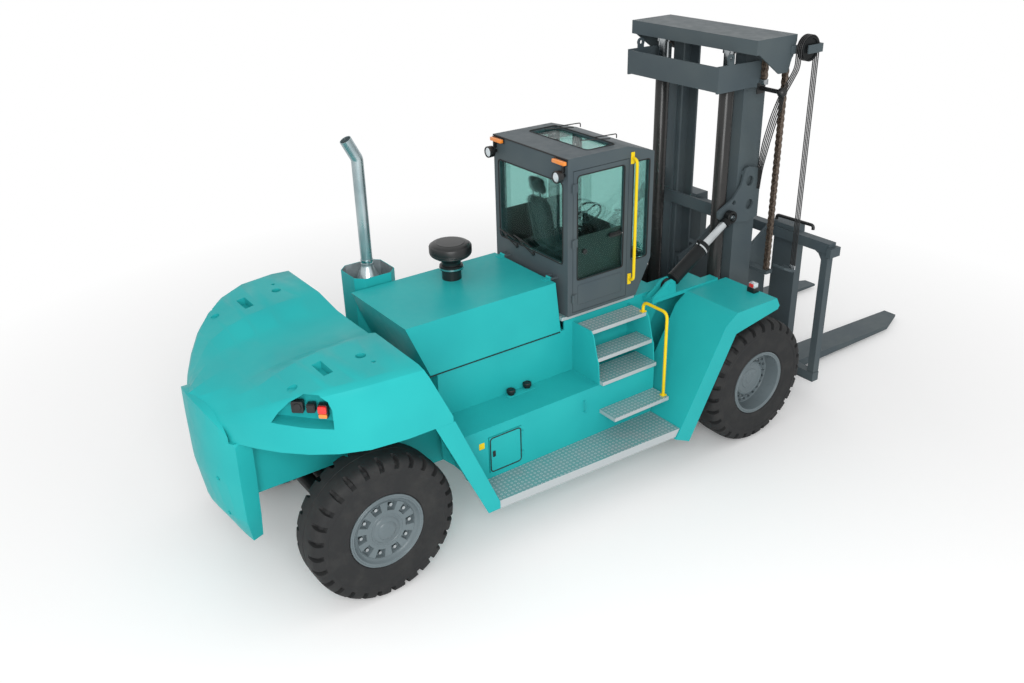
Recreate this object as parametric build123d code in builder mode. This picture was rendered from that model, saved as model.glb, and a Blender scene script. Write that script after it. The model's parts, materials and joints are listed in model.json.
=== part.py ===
from build123d import *
import math
import os

# Heavy diesel forklift with a two-stage mast, a side cab and a cast counterweight.
# +X points forward, +Y to the driver's left, +Z up. Millimetres.
# The origin is on the floor, midway between the fork tips and the tail, on the centre line.

# Wheelbase and overhangs, measured from the axles
wheelbase = 4750
rear_overhang = 1200
fork_reach = 4070

front_axle_x = (wheelbase + rear_overhang - fork_reach) / 2
rear_axle_x = front_axle_x - wheelbase
tail_x = rear_axle_x - rear_overhang

# Tyres and rims, drawn with flats between their lugs
tyre_radius = 740
tyre_width = 432
tyre_shoulder = 70
tyre_side_radius = 645
bulge_radius = 482
lug_count = 18
lug_gap = 42
lug_depth = 45
lug_reach = 95
bead_radius = 352
bead_inset = 22
bead_recess_radius = 382
rim_flange_radius = 378
rim_flange_thickness = 16
rim_wall = 14
dual_gap = 53
dual_spacing = tyre_width + dual_gap
axle_height = tyre_radius
steer_wheel_y = 1144

# The mast stands between the inner driven wheels, the fenders reach past the outer ones
outer_mast_y = 590
mast_tyre_gap = 11
fender_tyre_gap = 12
inner_dual_y = outer_mast_y + mast_tyre_gap + tyre_width / 2
outer_dual_y = inner_dual_y + dual_spacing
half_width = outer_dual_y + tyre_width / 2 + fender_tyre_gap

# Frame: two deep beams, the engine bay between the axles, cross members
beam_y = 395
beam_plate = 40
beam_low = 560
beam_high = 1250
bay_y = 595
bay_wall = 20
deck_z = 1190
hood_seat_z = 1700
cab_floor_z = 1860
bay_rear_x = rear_axle_x + 1060
bay_front_x = front_axle_x - 2110
cab_bay_front_x = front_axle_x - 1000

# Engine cover
hood_low_y = 600
hood_top_y = 553
hood_top_z = 2250
hood_low_rear_x = rear_axle_x + 982
hood_top_rear_x = rear_axle_x + 766
hood_front_x = front_axle_x - 2190
hood_wall = 12
seat_gap = 0.3

# Cab
cab_y = 641
cab_rear_x = front_axle_x - 2100
cab_front_x = front_axle_x - 950
cab_foot_x = front_axle_x - 1150
cab_roof_z = 3560
cab_brow_z = 3440
cab_wall = 45
cab_glass_thickness = 8

# Mast
mast_pivot_x = front_axle_x + 260
mast_pivot_z = 560
outer_mast_rear_x = front_axle_x + 400
outer_mast_front_x = front_axle_x + 745
mast_plate = 26
mast_gap = 6
mast_foot_z = 260
head_top_z = 4460
outer_mast_top_z = head_top_z - 535
top_beam_rear_x = front_axle_x - 150
top_beam_z = head_top_z - 275
top_beam_y = 712
head_rear_x = front_axle_x + 130
head_front_x = front_axle_x + 742
head_y = 962
lift_cylinder_x = front_axle_x + 218
lift_cylinder_y = 505
lift_cylinder_radius = 82
lift_rod_radius = 60
lift_stroke = 2000

# Carriage and forks
carriage_y = 1290
carriage_rear_x = front_axle_x + 1290
carriage_front_x = front_axle_x + 1415
carriage_top_z = 2050
carriage_foot_z = 215
fork_width = 370
fork_thickness = 120
fork_inner_right_y = 365
fork_inner_left_y = 900
fork_low_z = 40
fork_rear_x = carriage_front_x + 0.8
fork_front_x = fork_rear_x + fork_thickness
fork_tip_x = front_axle_x + fork_reach

# Tilt cylinders
tilt_y = 700
tilt_low_x = front_axle_x - 731
tilt_low_z = 1880
tilt_high_x = front_axle_x + 215
tilt_high_z = 2470
tilt_barrel_length = 660
tilt_barrel_radius = 85
tilt_rod_radius = 45
tilt_pin_radius = 38
tilt_eye_radius = 75
tilt_high_pin_radius = 28
tilt_eye_play = 16
rod_clearance = 0.6

# Walkways, tanks and steps
tank_y = 1047
walkway_z = 600
walkway_thickness = 95
walkway_front_y = half_width - 10
walkway_rear_y = half_width - 105
walkway_rear_x = rear_axle_x + 1188.3
walkway_front_x = front_axle_x - 1232
step_rear_x = front_axle_x - 1985
step_front_x = front_axle_x - 1210
tread_thickness = 45

os.makedirs("parts", exist_ok=True)


def save(part, name):
    """Label a finished piece and write it."""
    part.label = name
    export_step(part, f"parts/{name}.step")


def plate(plane, outline, thickness, mode=Mode.ADD):
    """Flat plate: a closed outline on a plane, extruded along the plane's normal."""
    with BuildSketch(plane) as shape:
        with BuildLine():
            Polyline(*outline, close=True)
        make_face()
    extrude(to_extrude=shape.sketch, amount=thickness, mode=mode)


def bar(low, high, mode=Mode.ADD):
    """Box between two opposite corners."""
    size = [b - a for a, b in zip(low, high)]
    with Locations(tuple((b + a) / 2 for a, b in zip(low, high))):
        Box(*size, mode=mode)


rod_flats = 16


def rod(start, end, radius, mode=Mode.ADD):
    """Bar or hole from one point to another, drawn with flats."""
    axis = Vector(*end) - Vector(*start)
    with BuildSketch(Plane(origin=start, z_dir=axis)) as disc:
        RegularPolygon(radius, rod_flats)
    extrude(to_extrude=disc.sketch, amount=axis.length, mode=mode)


def pin(start, end, radius, mode=Mode.ADD):
    """Truly round pin or bore, for the axes that pieces turn on."""
    axis = Vector(*end) - Vector(*start)
    with BuildSketch(Plane(origin=start, z_dir=axis)) as disc:
        Circle(radius)
    extrude(to_extrude=disc.sketch, amount=axis.length, mode=mode)


def side_plane(y):
    """Plane at a given y whose sketch axes are X and Z and whose normal points to -Y."""
    return Plane(origin=(0, y, 0), x_dir=(1, 0, 0), z_dir=(0, -1, 0))


def wall(outline, y_low, y_high, mode=Mode.ADD):
    """Plate seen from the side: an X-Z outline filled between two y values."""
    plate(side_plane(y_high), outline, y_high - y_low, mode)


sides = {"right": -1, "left": 1}


def across(sign, near, far):
    """The two y values of a piece on one side of the truck, the lower one first."""
    return sorted((sign * near, sign * far))


def wheel_plane(x, y):
    """Plane through a wheel's centre, with its normal along the axle (+Y)."""
    return Plane(origin=(x, y, axle_height), x_dir=(1, 0, 0), z_dir=(0, 1, 0))


def drum(base, levels, flats, mode=Mode.ADD):
    """Flat-sided drum along a plane's normal: levels are (distance along it, radius to a flat)."""
    outlines = []
    for along, radius in levels:
        with BuildSketch(base.offset(along)) as level:
            RegularPolygon(radius, flats, major_radius=False, rotation=90 - 180 / flats)
        outlines.append(level.sketch)
    loft(sections=outlines, ruled=True, mode=mode)


def tyre(x, y):
    """Tyre with a stepped bead on each side and lug gaps cut into both shoulders."""
    half = tyre_width / 2
    crown = half - tyre_shoulder
    centre = wheel_plane(x, y)
    drum(centre, [
        (-half, tyre_side_radius), (-crown, tyre_radius), (crown, tyre_radius), (half, tyre_side_radius),
    ], lug_count)
    drum(centre, [(-half - 1, bead_radius), (half + 1, bead_radius)], lug_count, Mode.SUBTRACT)
    for side in (-1, 1):
        recess = [(side * (half - bead_inset), bead_recess_radius), (side * half, bulge_radius)]
        drum(centre, sorted(recess), lug_count, Mode.SUBTRACT)
        with Locations(centre):
            with PolarLocations(tyre_radius, lug_count, start_angle=90):
                with Locations((0, 0, side * (half - lug_reach / 2 + 5))):
                    Box(2 * lug_depth, lug_gap, lug_reach + 10, mode=Mode.SUBTRACT)


def ring(x, y, outline):
    """Solid of revolution about an axle: outline points are (distance along +Y, radius)."""
    with BuildSketch(Plane(origin=(x, y, axle_height), x_dir=(0, 1, 0), z_dir=(-1, 0, 0))) as section:
        with BuildLine():
            Polyline(*outline, close=True)
        make_face()
    revolve(profiles=section.sketch, axis=Axis((x, y, axle_height), (0, 1, 0)))


def rim_barrel(x, y):
    """Rim tube with a flange at each bead, seated just inside a tyre."""
    bead = tyre_width / 2 - bead_inset + seat_gap
    edge = bead + rim_flange_thickness
    centre = wheel_plane(x, y)
    drum(centre, [(-bead - 1, rim_seat_radius), (bead + 1, rim_seat_radius)], lug_count)
    for start, end in ((-edge, -bead), (bead, edge)):
        drum(centre, [(start, rim_flange_radius), (end, rim_flange_radius)], lug_count)
    drum(centre, [(-edge - 1, rim_bore_radius), (edge + 1, rim_bore_radius)], lug_count, Mode.SUBTRACT)


def web(x, y, sign, levels, mode=Mode.ADD):
    """Disc inside a rim: levels are (distance towards the wheel's outer side, radius)."""
    drum(wheel_plane(x, y), sorted((sign * out, radius) for out, radius in levels), lug_count, mode)


rim_seat_radius = bead_radius - seat_gap
rim_bore_radius = rim_seat_radius - rim_wall
spindle_radius = 88
drive_spindle_radius = 100
spindle_clearance = 0.3
hub_radius = 150
front_hub_radius = 205
nut_circle = 245
nut_count = 10

# Tyres: one on each steered wheel, two on each driven wheel
for side, sign in sides.items():
    with BuildPart() as rear_tyre:
        tyre(rear_axle_x, sign * steer_wheel_y)
    save(rear_tyre.part, f"rear_tyre_{side}")

    with BuildPart() as outer_tyre:
        tyre(front_axle_x, sign * outer_dual_y)
    save(outer_tyre.part, f"front_tyre_outer_{side}")

    with BuildPart() as inner_tyre:
        tyre(front_axle_x, sign * inner_dual_y)
    save(inner_tyre.part, f"front_tyre_inner_{side}")

# Rear rims: pressed disc with a ring of nut pockets and a cone over the hub
for side, sign in sides.items():
    wheel_y = sign * steer_wheel_y
    with BuildPart() as rear_rim:
        rim_barrel(rear_axle_x, wheel_y)
        web(rear_axle_x, wheel_y, sign, [(-150, hub_radius), (60, hub_radius)])
        web(rear_axle_x, wheel_y, sign, [(55, rim_seat_radius - 2), (85, rim_seat_radius - 2), (135, 290)])
        web(rear_axle_x, wheel_y, sign, [(130, 120), (190, 62)])
        inner_end = (rear_axle_x, wheel_y - sign * 151, axle_height)
        bore_end = (rear_axle_x, wheel_y + sign * 60, axle_height)
        pin(inner_end, bore_end, spindle_radius + spindle_clearance, Mode.SUBTRACT)
        with Locations(wheel_plane(rear_axle_x, wheel_y)):
            with PolarLocations(nut_circle, nut_count):
                with Locations((0, 0, sign * 128)):
                    Box(60, 62, 24, mode=Mode.SUBTRACT)
    save(rear_rim.part, f"rear_rim_{side}")

# Front rims: two barrels on one hub, the disc deep inside, a cover over the hub
for side, sign in sides.items():
    with BuildPart() as front_rim:
        rim_barrel(front_axle_x, sign * outer_dual_y)
        rim_barrel(front_axle_x, sign * inner_dual_y)
        middle_y = sign * (outer_dual_y + inner_dual_y) / 2
        web(front_axle_x, middle_y, sign, [(-80, rim_seat_radius - 2), (80, rim_seat_radius - 2)])
        web(front_axle_x, middle_y, sign, [(-81, rim_bore_radius - 8), (81, rim_bore_radius - 8)], Mode.SUBTRACT)
        web(front_axle_x, middle_y, sign, [(-30, rim_bore_radius), (0, rim_bore_radius)])
        web(front_axle_x, middle_y, sign, [(-1, front_hub_radius + 20), (200, front_hub_radius), (215, 180)])
        inner_end = (front_axle_x, middle_y - sign * 31, axle_height)
        bore_end = (front_axle_x, middle_y + sign * 180, axle_height)
        pin(inner_end, bore_end, drive_spindle_radius + spindle_clearance, Mode.SUBTRACT)
    save(front_rim.part, f"front_rim_{side}")

# Drive axle: housing through the frame beams, round spindles for the wheel hubs
axle_arm_radius = 130
axle_centre_radius = 260
with BuildPart() as drive_axle:
    arm_y = (outer_dual_y + inner_dual_y) / 2 - 60
    rod((front_axle_x, -arm_y, axle_height), (front_axle_x, arm_y, axle_height), axle_arm_radius)
    spindle_y = arm_y + 225
    pin((front_axle_x, -spindle_y, axle_height), (front_axle_x, spindle_y, axle_height), drive_spindle_radius)
    drum(wheel_plane(front_axle_x, 0), [
        (-330, axle_arm_radius - 4), (-200, axle_centre_radius), (200, axle_centre_radius), (330, axle_arm_radius - 4),
    ], 12)
    drum(Plane(origin=(front_axle_x - 230, 0, axle_height), z_dir=(-1, 0, 0)), [(0, 150), (130, 125)], 12)
save(drive_axle.part, "drive_axle")

# Steer axle: box beam, yokes with kingpins at its ends, and the centre pivot below the frame
kingpin_y = 850
kingpin_radius = 45
yoke_gap = 212
yoke_plate = 36
knuckle_height = yoke_gap - 12
with BuildPart() as steer_axle:
    plate(Plane.XY.offset(axle_height - 120), [
        (rear_axle_x - 130, -700), (rear_axle_x + 130, -700), (rear_axle_x + 170, 0),
        (rear_axle_x + 130, 700), (rear_axle_x - 130, 700),
    ], 240)
    for sign in sides.values():
        for low in (axle_height - yoke_gap / 2 - yoke_plate, axle_height + yoke_gap / 2):
            plate(Plane.XY.offset(low), [
                (rear_axle_x - 120, sign * 600), (rear_axle_x + 120, sign * 600),
                (rear_axle_x + 80, sign * (kingpin_y + 60)), (rear_axle_x - 80, sign * (kingpin_y + 60)),
            ], yoke_plate)
        pin_half = yoke_gap / 2 + yoke_plate
        pin_y = sign * kingpin_y
        pin((rear_axle_x, pin_y, axle_height - pin_half), (rear_axle_x, pin_y, axle_height + pin_half), kingpin_radius)
    for x in (rear_axle_x - 70, rear_axle_x + 70):
        bar((x - 40, -130, axle_height + 120), (x + 40, 130, 980))
save(steer_axle.part, "steer_axle")

# Steering cylinder: fixed barrel behind the axle, one rod through it with a link at each end
steer_cylinder_x = rear_axle_x - 230
steer_barrel_y = 340
steer_barrel_radius = 78
steer_rod_radius = 38
steer_rod_y = 560
steer_arm = 220
steer_arm_half = 25
link_z = axle_height - 66
with BuildPart() as steer_cylinder:
    rod((steer_cylinder_x, -steer_barrel_y, axle_height), (steer_cylinder_x, steer_barrel_y, axle_height),
        steer_barrel_radius)
    for y in (-steer_barrel_y + 60, steer_barrel_y - 60):
        bar((rear_axle_x - 190, y - 30, axle_height - 70), (rear_axle_x - 130, y + 30, axle_height + 70))
    rod((steer_cylinder_x, -steer_barrel_y, axle_height), (steer_cylinder_x, steer_barrel_y, axle_height),
        steer_rod_radius + 0.5, Mode.SUBTRACT)
save(steer_cylinder.part, "steer_cylinder")

with BuildPart() as steer_rod:
    rod((steer_cylinder_x, -steer_rod_y, axle_height), (steer_cylinder_x, steer_rod_y, axle_height), steer_rod_radius)
    for sign in sides.values():
        y_low, y_high = across(sign, (steer_rod_y - 30), (steer_rod_y + 30))
        bar((steer_cylinder_x - 45, y_low, link_z - 15), (steer_cylinder_x + 45, y_high, axle_height + 45))
        y_low, y_high = across(sign, steer_rod_y, kingpin_y)
        bar((steer_cylinder_x - 32, y_low, link_z - 15), (steer_cylinder_x + 32, y_high, link_z + 15))
        eye = (steer_cylinder_x + 10, sign * kingpin_y)
        rod((*eye, link_z - 15), (*eye, link_z + 15), 42)
save(steer_rod.part, "steer_rod")

# Knuckles: block around the kingpin, spindle for the wheel, arm for the steering link
for side, sign in sides.items():
    with BuildPart() as knuckle:
        pin_y = sign * kingpin_y
        base = axle_height - knuckle_height / 2
        rod((rear_axle_x, pin_y, base), (rear_axle_x, pin_y, base + knuckle_height), 92)
        pin((rear_axle_x, pin_y, axle_height), (rear_axle_x, sign * (steer_wheel_y + 55), axle_height), spindle_radius)
        y_low, y_high = across(sign, kingpin_y - steer_arm_half, kingpin_y + steer_arm_half)
        bar((rear_axle_x - steer_arm - 20, y_low, axle_height - 30), (rear_axle_x - 60, y_high, axle_height + 30))
        pin((rear_axle_x, pin_y, base), (rear_axle_x, pin_y, base + knuckle_height), kingpin_radius + seat_gap,
            Mode.SUBTRACT)
    save(knuckle.part, f"knuckle_{side}")

# Frame
beam_tail_z = 1660
tail_beam_x = tail_x + 345
panel_rear_depth = 345 - seat_gap
beam_outline = [
    (mast_pivot_x + 70, mast_pivot_z - 60), (mast_pivot_x + 70, mast_pivot_z + 60),
    (mast_pivot_x - 60, beam_high - 80), (front_axle_x - 250, beam_high),
    (rear_axle_x + 900, beam_high), (rear_axle_x + 500, beam_tail_z), (tail_beam_x, beam_tail_z),
    (tail_beam_x, 980), (rear_axle_x + 420, 980), (rear_axle_x + 640, beam_low),
    (mast_pivot_x, beam_low - 120),
]
shoulder_y = 760
shoulder_z = 1790
shoulder_low_z = 1745
bearer_front_x = front_axle_x - 760
with BuildPart() as frame:
    for sign in sides.values():
        y_low, y_high = across(sign, (beam_y - beam_plate), beam_y)
        wall(beam_outline, y_low, y_high)
        hole = axle_arm_radius + seat_gap
        rod((front_axle_x, y_low, axle_height), (front_axle_x, y_high, axle_height), hole, Mode.SUBTRACT)
        pin_low, pin_high = across(sign, (beam_y - beam_plate - 20), (beam_y + 75))
        pin((mast_pivot_x, pin_low, mast_pivot_z), (mast_pivot_x, pin_high, mast_pivot_z), 55)
    bar((tail_beam_x, -(beam_y - beam_plate), 980), (tail_beam_x + 30, beam_y - beam_plate, beam_tail_z))
    bar((rear_axle_x - 160, -(beam_y - beam_plate), 980), (rear_axle_x + 160, beam_y - beam_plate, 1030))
    for sign in sides.values():
        inner_y = sign * (beam_y - beam_plate)
        bay_side_y = sign * (bay_y + seat_gap)
        shoulder_rear_x = front_axle_x - 1000
        step_x = bearer_front_x + seat_gap
        plate(Plane.XY.offset(shoulder_low_z), [
            (shoulder_rear_x, bay_side_y), (step_x, bay_side_y), (step_x, inner_y), (front_axle_x - 130, inner_y),
            (front_axle_x - 130, sign * 628), (front_axle_x + 20, sign * 628),
            (front_axle_x + 20, sign * shoulder_y), (shoulder_rear_x, sign * shoulder_y),
        ], shoulder_z - shoulder_low_z)
        y_low, y_high = across(sign, (beam_y - beam_plate), beam_y)
        wall([
            (front_axle_x - 760, beam_high - 20), (front_axle_x - 160, beam_high - 20),
            (front_axle_x - 140, shoulder_low_z + 5), (front_axle_x - 760, shoulder_low_z + 5),
        ], y_low, y_high)
        for near, far in ((645, 668), (732, 755)):
            y_low, y_high = across(sign, near, far)
            wall([
                (tilt_low_x - 262, shoulder_z - 5), (tilt_low_x - 250, shoulder_z + 22),
                (tilt_low_x - 130, tilt_low_z + 8), (tilt_low_x - 62, tilt_low_z + 66),
                (tilt_low_x + 20, tilt_low_z + 82), (tilt_low_x + 75, tilt_low_z + 40),
                (tilt_low_x + 90, shoulder_z - 5),
            ], y_low, y_high)
        y_low, y_high = across(sign, 640, 760)
        pin((tilt_low_x, y_low, tilt_low_z), (tilt_low_x, y_high, tilt_low_z), tilt_pin_radius)
save(frame.part, "frame")

# Engine bay: side walls outside the beams, bulkheads between them, a belly pan and the cab's floor bearer
bay_foot_z = beam_low
bay_tail_z = 700
bay_floor = 16
bearer_z = cab_floor_z - 40
bay_toe_x = front_axle_x - 1330
bay_heel_x = bay_rear_x + 140
between = beam_y - beam_plate - seat_gap
with BuildPart() as engine_bay:
    for sign in sides.values():
        y_low, y_high = across(sign, bay_y - bay_wall, bay_y)
        wall([
            (bay_rear_x, bay_tail_z), (bay_rear_x, hood_seat_z), (bay_front_x, hood_seat_z), (bay_front_x, bearer_z),
            (bearer_front_x, bearer_z), (bearer_front_x - 20, 1560), (bay_toe_x, bay_foot_z), (bay_heel_x, bay_foot_z),
        ], y_low, y_high)
    inner = bay_y - bay_wall
    for x in (bay_rear_x, bay_front_x - bay_wall):
        bar((x, -inner, beam_high + seat_gap), (x + bay_wall, inner, hood_seat_z))
        bar((x, -between, bay_foot_z), (x + bay_wall, between, beam_high + 1))
    bar((bay_front_x - bay_wall, -inner, bearer_z - bay_wall), (bearer_front_x, inner, bearer_z))
    bar((bay_rear_x, -between, bay_foot_z), (bay_toe_x, between, bay_foot_z + bay_floor))
save(engine_bay.part, "engine_bay")

# Engine with its gearbox, as one plain block between the beams
engine_y = 330
engine_foot_y = beam_y - beam_plate - seat_gap
with BuildPart() as engine:
    bar((bay_rear_x + 250, -engine_y, beam_low + 120), (bay_front_x - 250, engine_y, 1560))
    for x in (bay_rear_x + 320, bay_front_x - 420):
        bar((x, -engine_foot_y, 900), (x + 100, engine_foot_y, 1000))
save(engine.part, "engine")

# Counterweight: lofted across stations that follow its rounded plan and the fall of its top
counterweight_low_z = 1680
counterweight_half = 1440
counterweight_bow = 1450
edge_round = 85
# Columns: x ahead of the tail, then the top's z at the shoulder, ridge, valley side and valley floor
top_stations = [
    (1980, 2300, 2325, 2205, 2195),
    (1450, 2330, 2338, 2214, 2204),
    (1100, 2322, 2326, 2208, 2198),
    (850, 2285, 2290, 2190, 2182),
    (640, 2222, 2232, 2163, 2160),
    (460, 2130, 2152, 2128, 2130),
    (310, 2030, 2068, 2085, 2095),
    (190, 1940, 1993, 2035, 2055),
    (90, 1860, 1928, 1990, 2015),
    (30, 1800, 1885, 1960, 1990),
    (0, 1775, 1870, 1945, 1975),
]


def counterweight_y(ahead):
    """Half width of the counterweight's plan at a distance ahead of the tail."""
    share = max(0.0, 1 - max(ahead, 10) / counterweight_bow)
    return counterweight_half * (1 - share ** 2.2) ** 0.72


# The rear panel's top is a round arch let into the counterweight's lower edge
panel_half = 600
panel_arch_z = 1985
panel_spring_z = 1655
panel_arch_radius = (panel_half ** 2 + (panel_arch_z - panel_spring_z) ** 2) / (2 * (panel_arch_z - panel_spring_z))
panel_arch_depth = 150
eye_radius = 48
eye_depth = 120
# Columns: x ahead of the tail, y, radius of each round pocket in the top
eyes = [(1314, 915, 48), (652, 913, 48), (1352, 1084, 20)]
lamp_niche = [(0, 1974), (80, 2080), (175, 2168), (300, 2236), (440, 2240), (520, 2190), (548, 2112), (548, 1926)]
niche_tip = (tail_x + 424, 914)
niche_mouth = 90
niche_depth = 140
niche_front = (tail_x + 830, 1274)
with BuildPart() as counterweight:
    sections = []
    for ahead, *heights in top_stations:
        edge_y = counterweight_y(ahead)
        turn = min(edge_round, edge_y / 3)
        ridge_y = min(590, 0.6 * edge_y)
        side_y = min(330, 0.35 * edge_y)
        shoulder, ridge, side_z, floor = heights
        right = [
            (edge_y, counterweight_low_z), (edge_y, shoulder - turn - 20), (edge_y - 0.3 * turn, shoulder - 0.4 * turn),
            (edge_y - turn, shoulder), (ridge_y, ridge), (side_y, side_z),
        ]
        left = [(-y, z) for y, z in right[::-1]]
        with BuildSketch(Plane(origin=(tail_x + ahead, 0, 0), x_dir=(0, 1, 0), z_dir=(1, 0, 0))) as section:
            with BuildLine():
                Polyline(*right, (0, floor), *left, close=True)
            make_face()
        sections.append(section.sketch)
    loft(sections=sections, ruled=True)
    wall([
        (rear_axle_x + 710, 1740), (rear_axle_x + 405, 2400), (rear_axle_x + 850, 2400), (rear_axle_x + 850, 1600),
        (rear_axle_x + 710, 1600),
    ], -half_width, half_width, Mode.SUBTRACT)
    arch_z = panel_arch_z - panel_arch_radius
    pin((tail_x - 10, 0, arch_z), (tail_x + panel_arch_depth, 0, arch_z), panel_arch_radius + seat_gap, Mode.SUBTRACT)
    for sign in sides.values():
        for ahead, y, radius in eyes:
            rod((tail_x + ahead, sign * y, 2330 - eye_depth), (tail_x + ahead, sign * y, 2400), radius, Mode.SUBTRACT)
        bar((tail_x + 915, sign * 875 - 125, 2235), (tail_x + 1005, sign * 875 + 125, 2400), Mode.SUBTRACT)
        along = Vector(niche_front[0] - niche_tip[0], sign * (niche_front[1] - niche_tip[1]), 0).normalized()
        outward = Vector(0, 0, 1).cross(along) * sign
        origin = Vector(niche_tip[0], sign * niche_tip[1], 0) + outward * niche_mouth
        niche_plane = Plane(origin=origin, x_dir=along, z_dir=-outward)
        up = 1 if niche_plane.y_dir.Z > 0 else -1
        plate(niche_plane, [(s, up * z) for s, z in lamp_niche], niche_mouth + niche_depth, Mode.SUBTRACT)
save(counterweight.part, "counterweight")

# Rear panel: bowed in plan, tucked under at its foot, its top an arch inside the counterweight's edge.
# Columns: z, x ahead of the tail on the centre line and at the corner, half width
panel_sections = [
    (560, 195, 235, 500),
    (820, 60, 190, 545),
    (1250, 0, 178, 585),
    (1655, 0, 180, 600),
    (1990, 8, 180, 600),
]
panel_hole_radius = 22
with BuildPart() as rear_panel:
    sections = []
    for z, bow, corner, half in panel_sections:
        rim = []
        for share in (1, 0.75, 0.5, 0.25, 0, -0.25, -0.5, -0.75, -1):
            rim.append((tail_x + bow + (corner - bow) * share ** 2, half * share))
        with BuildSketch(Plane.XY.offset(z)) as level:
            with BuildLine():
                Polyline((tail_x + panel_rear_depth, half - 40), *rim, (tail_x + panel_rear_depth, 40 - half), close=True)
            make_face()
        sections.append(level.sketch)
    loft(sections=sections, ruled=True)
    arch_foot_z = counterweight_low_z - seat_gap
    bar((tail_x + panel_arch_depth - 1, -panel_half - 1, arch_foot_z),
        (tail_x + panel_rear_depth + 1, panel_half + 1, panel_arch_z + 60), Mode.SUBTRACT)
    with BuildSketch(Plane(origin=(tail_x - 10, 0, 0), x_dir=(0, 1, 0), z_dir=(1, 0, 0))) as arch:
        with BuildLine():
            Polyline((-panel_half - 5, panel_spring_z), (-panel_half - 5, 2100), (panel_half + 5, 2100),
                     (panel_half + 5, panel_spring_z), (panel_half, panel_spring_z))
            ThreePointArc((panel_half, panel_spring_z), (0, panel_arch_z), (-panel_half, panel_spring_z))
            Line((-panel_half, panel_spring_z), (-panel_half - 5, panel_spring_z))
        make_face()
    extrude(to_extrude=arch.sketch, amount=panel_rear_depth + 20, mode=Mode.SUBTRACT)
    for y in (-330, 330):
        for z in (840, 1240):
            rod((tail_x - 10, y, z), (tail_x + 190, y, z), panel_hole_radius, Mode.SUBTRACT)
save(rear_panel.part, "rear_panel")

# Engine cover: faceted, open below, hinged at its upper front edge
hood_front_low_x = hood_front_x + 30
hood_hinge_x = hood_front_x + 14
hood_hinge_z = hood_top_z + 14
hood_hinge_radius = 12
hood_hinge_y = 380
hood_hinge_length = 80
hood_pin_radius = 7
hood_leaf = 8
hinge_ear = 16
with BuildPart() as hood:
    for inset, mode in ((0, Mode.ADD), (hood_wall, Mode.SUBTRACT)):
        low = [
            (hood_low_rear_x + inset, -hood_low_y + inset), (hood_front_low_x - inset, -hood_low_y + inset),
            (hood_front_low_x - inset, hood_low_y - inset), (hood_low_rear_x + inset, hood_low_y - inset),
        ]
        high = [
            (hood_top_rear_x + inset, -hood_top_y + inset), (hood_front_x - inset, -hood_top_y + inset),
            (hood_front_x - inset, hood_top_y - inset), (hood_top_rear_x + inset, hood_top_y - inset),
        ]
        faces = []
        for outline, z in ((low, hood_seat_z + seat_gap), (high, hood_top_z - inset)):
            with BuildSketch(Plane.XY.offset(z)) as level:
                with BuildLine():
                    Polyline(*outline, close=True)
                make_face()
            faces.append(level.sketch)
        loft(sections=faces, ruled=True, mode=mode)
    for sign in sides.values():
        y_low, y_high = across(sign, hood_hinge_y, hood_hinge_y + hood_hinge_length)
        pin((hood_hinge_x, y_low, hood_hinge_z), (hood_hinge_x, y_high, hood_hinge_z), hood_hinge_radius)
        bar((hood_front_x - 60, y_low, hood_top_z - 1), (hood_hinge_x, y_high, hood_top_z + hood_leaf))
        bore = hood_pin_radius + seat_gap
        pin((hood_hinge_x, y_low, hood_hinge_z), (hood_hinge_x, y_high, hood_hinge_z), bore, Mode.SUBTRACT)
save(hood.part, "hood")

# Air pre-cleaner: bowl on a ringed stem, standing on the engine cover
cleaner_x = front_axle_x - 2960
cleaner_y = 237
cleaner_flats = 20
with BuildPart() as air_precleaner:
    foot = Plane.XY.offset(hood_top_z + seat_gap)
    with Locations((cleaner_x, cleaner_y, 0)):
        foot = Plane(origin=(cleaner_x, cleaner_y, hood_top_z + seat_gap))
    drum(foot, [(0, 105), (110, 105)], cleaner_flats)
    drum(foot, [(108, 125), (160, 125)], cleaner_flats)
    drum(foot, [(158, 100), (200, 100), (262, 205), (300, 225), (372, 225), (400, 150), (408, 60)], cleaner_flats)
save(air_precleaner.part, "air_precleaner")

# Exhaust: cut-cornered open shroud on a plinth on the left deck, cone and pipe inside it
exhaust_x = rear_axle_x + 1120
exhaust_y = 845
shroud_foot_z = 1450
shroud_floor_z = 2080
shroud_top_z = 2330
shroud_half = 240
shroud_corner = 90
shroud_wall = 8
plinth_rear = 45
plinth_front = 215
stack_radius = 62
stack_top_z = 3740


def shroud_outline(inset):
    """Square with cut corners around the exhaust, drawn in by a wall."""
    reach = shroud_half - inset
    cut = reach - shroud_corner + inset / 2
    corners = [(reach, cut), (cut, reach), (-cut, reach), (-reach, cut), (-reach, -cut), (-cut, -reach), (cut, -reach),
               (reach, -cut)]
    return [(exhaust_x + x, exhaust_y + y) for x, y in corners]


with BuildPart() as exhaust_shroud:
    plate(Plane.XY.offset(shroud_foot_z), shroud_outline(0), shroud_top_z - shroud_foot_z)
    plate(Plane.XY.offset(shroud_floor_z + 10), shroud_outline(shroud_wall), shroud_top_z - shroud_floor_z,
          Mode.SUBTRACT)
    plate(Plane.XY.offset(shroud_foot_z - 1), shroud_outline(shroud_wall), shroud_floor_z - shroud_foot_z + 1,
          Mode.SUBTRACT)
    bar((exhaust_x - plinth_rear, exhaust_y - plinth_front, deck_z + seat_gap),
        (exhaust_x + plinth_front, exhaust_y + plinth_front - 20, shroud_foot_z))
    bar((exhaust_x - shroud_half, exhaust_y - shroud_half + shroud_corner, shroud_foot_z),
        (exhaust_x + shroud_half, exhaust_y + shroud_half - shroud_corner, shroud_foot_z + shroud_wall))
save(exhaust_shroud.part, "exhaust_shroud")

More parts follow.
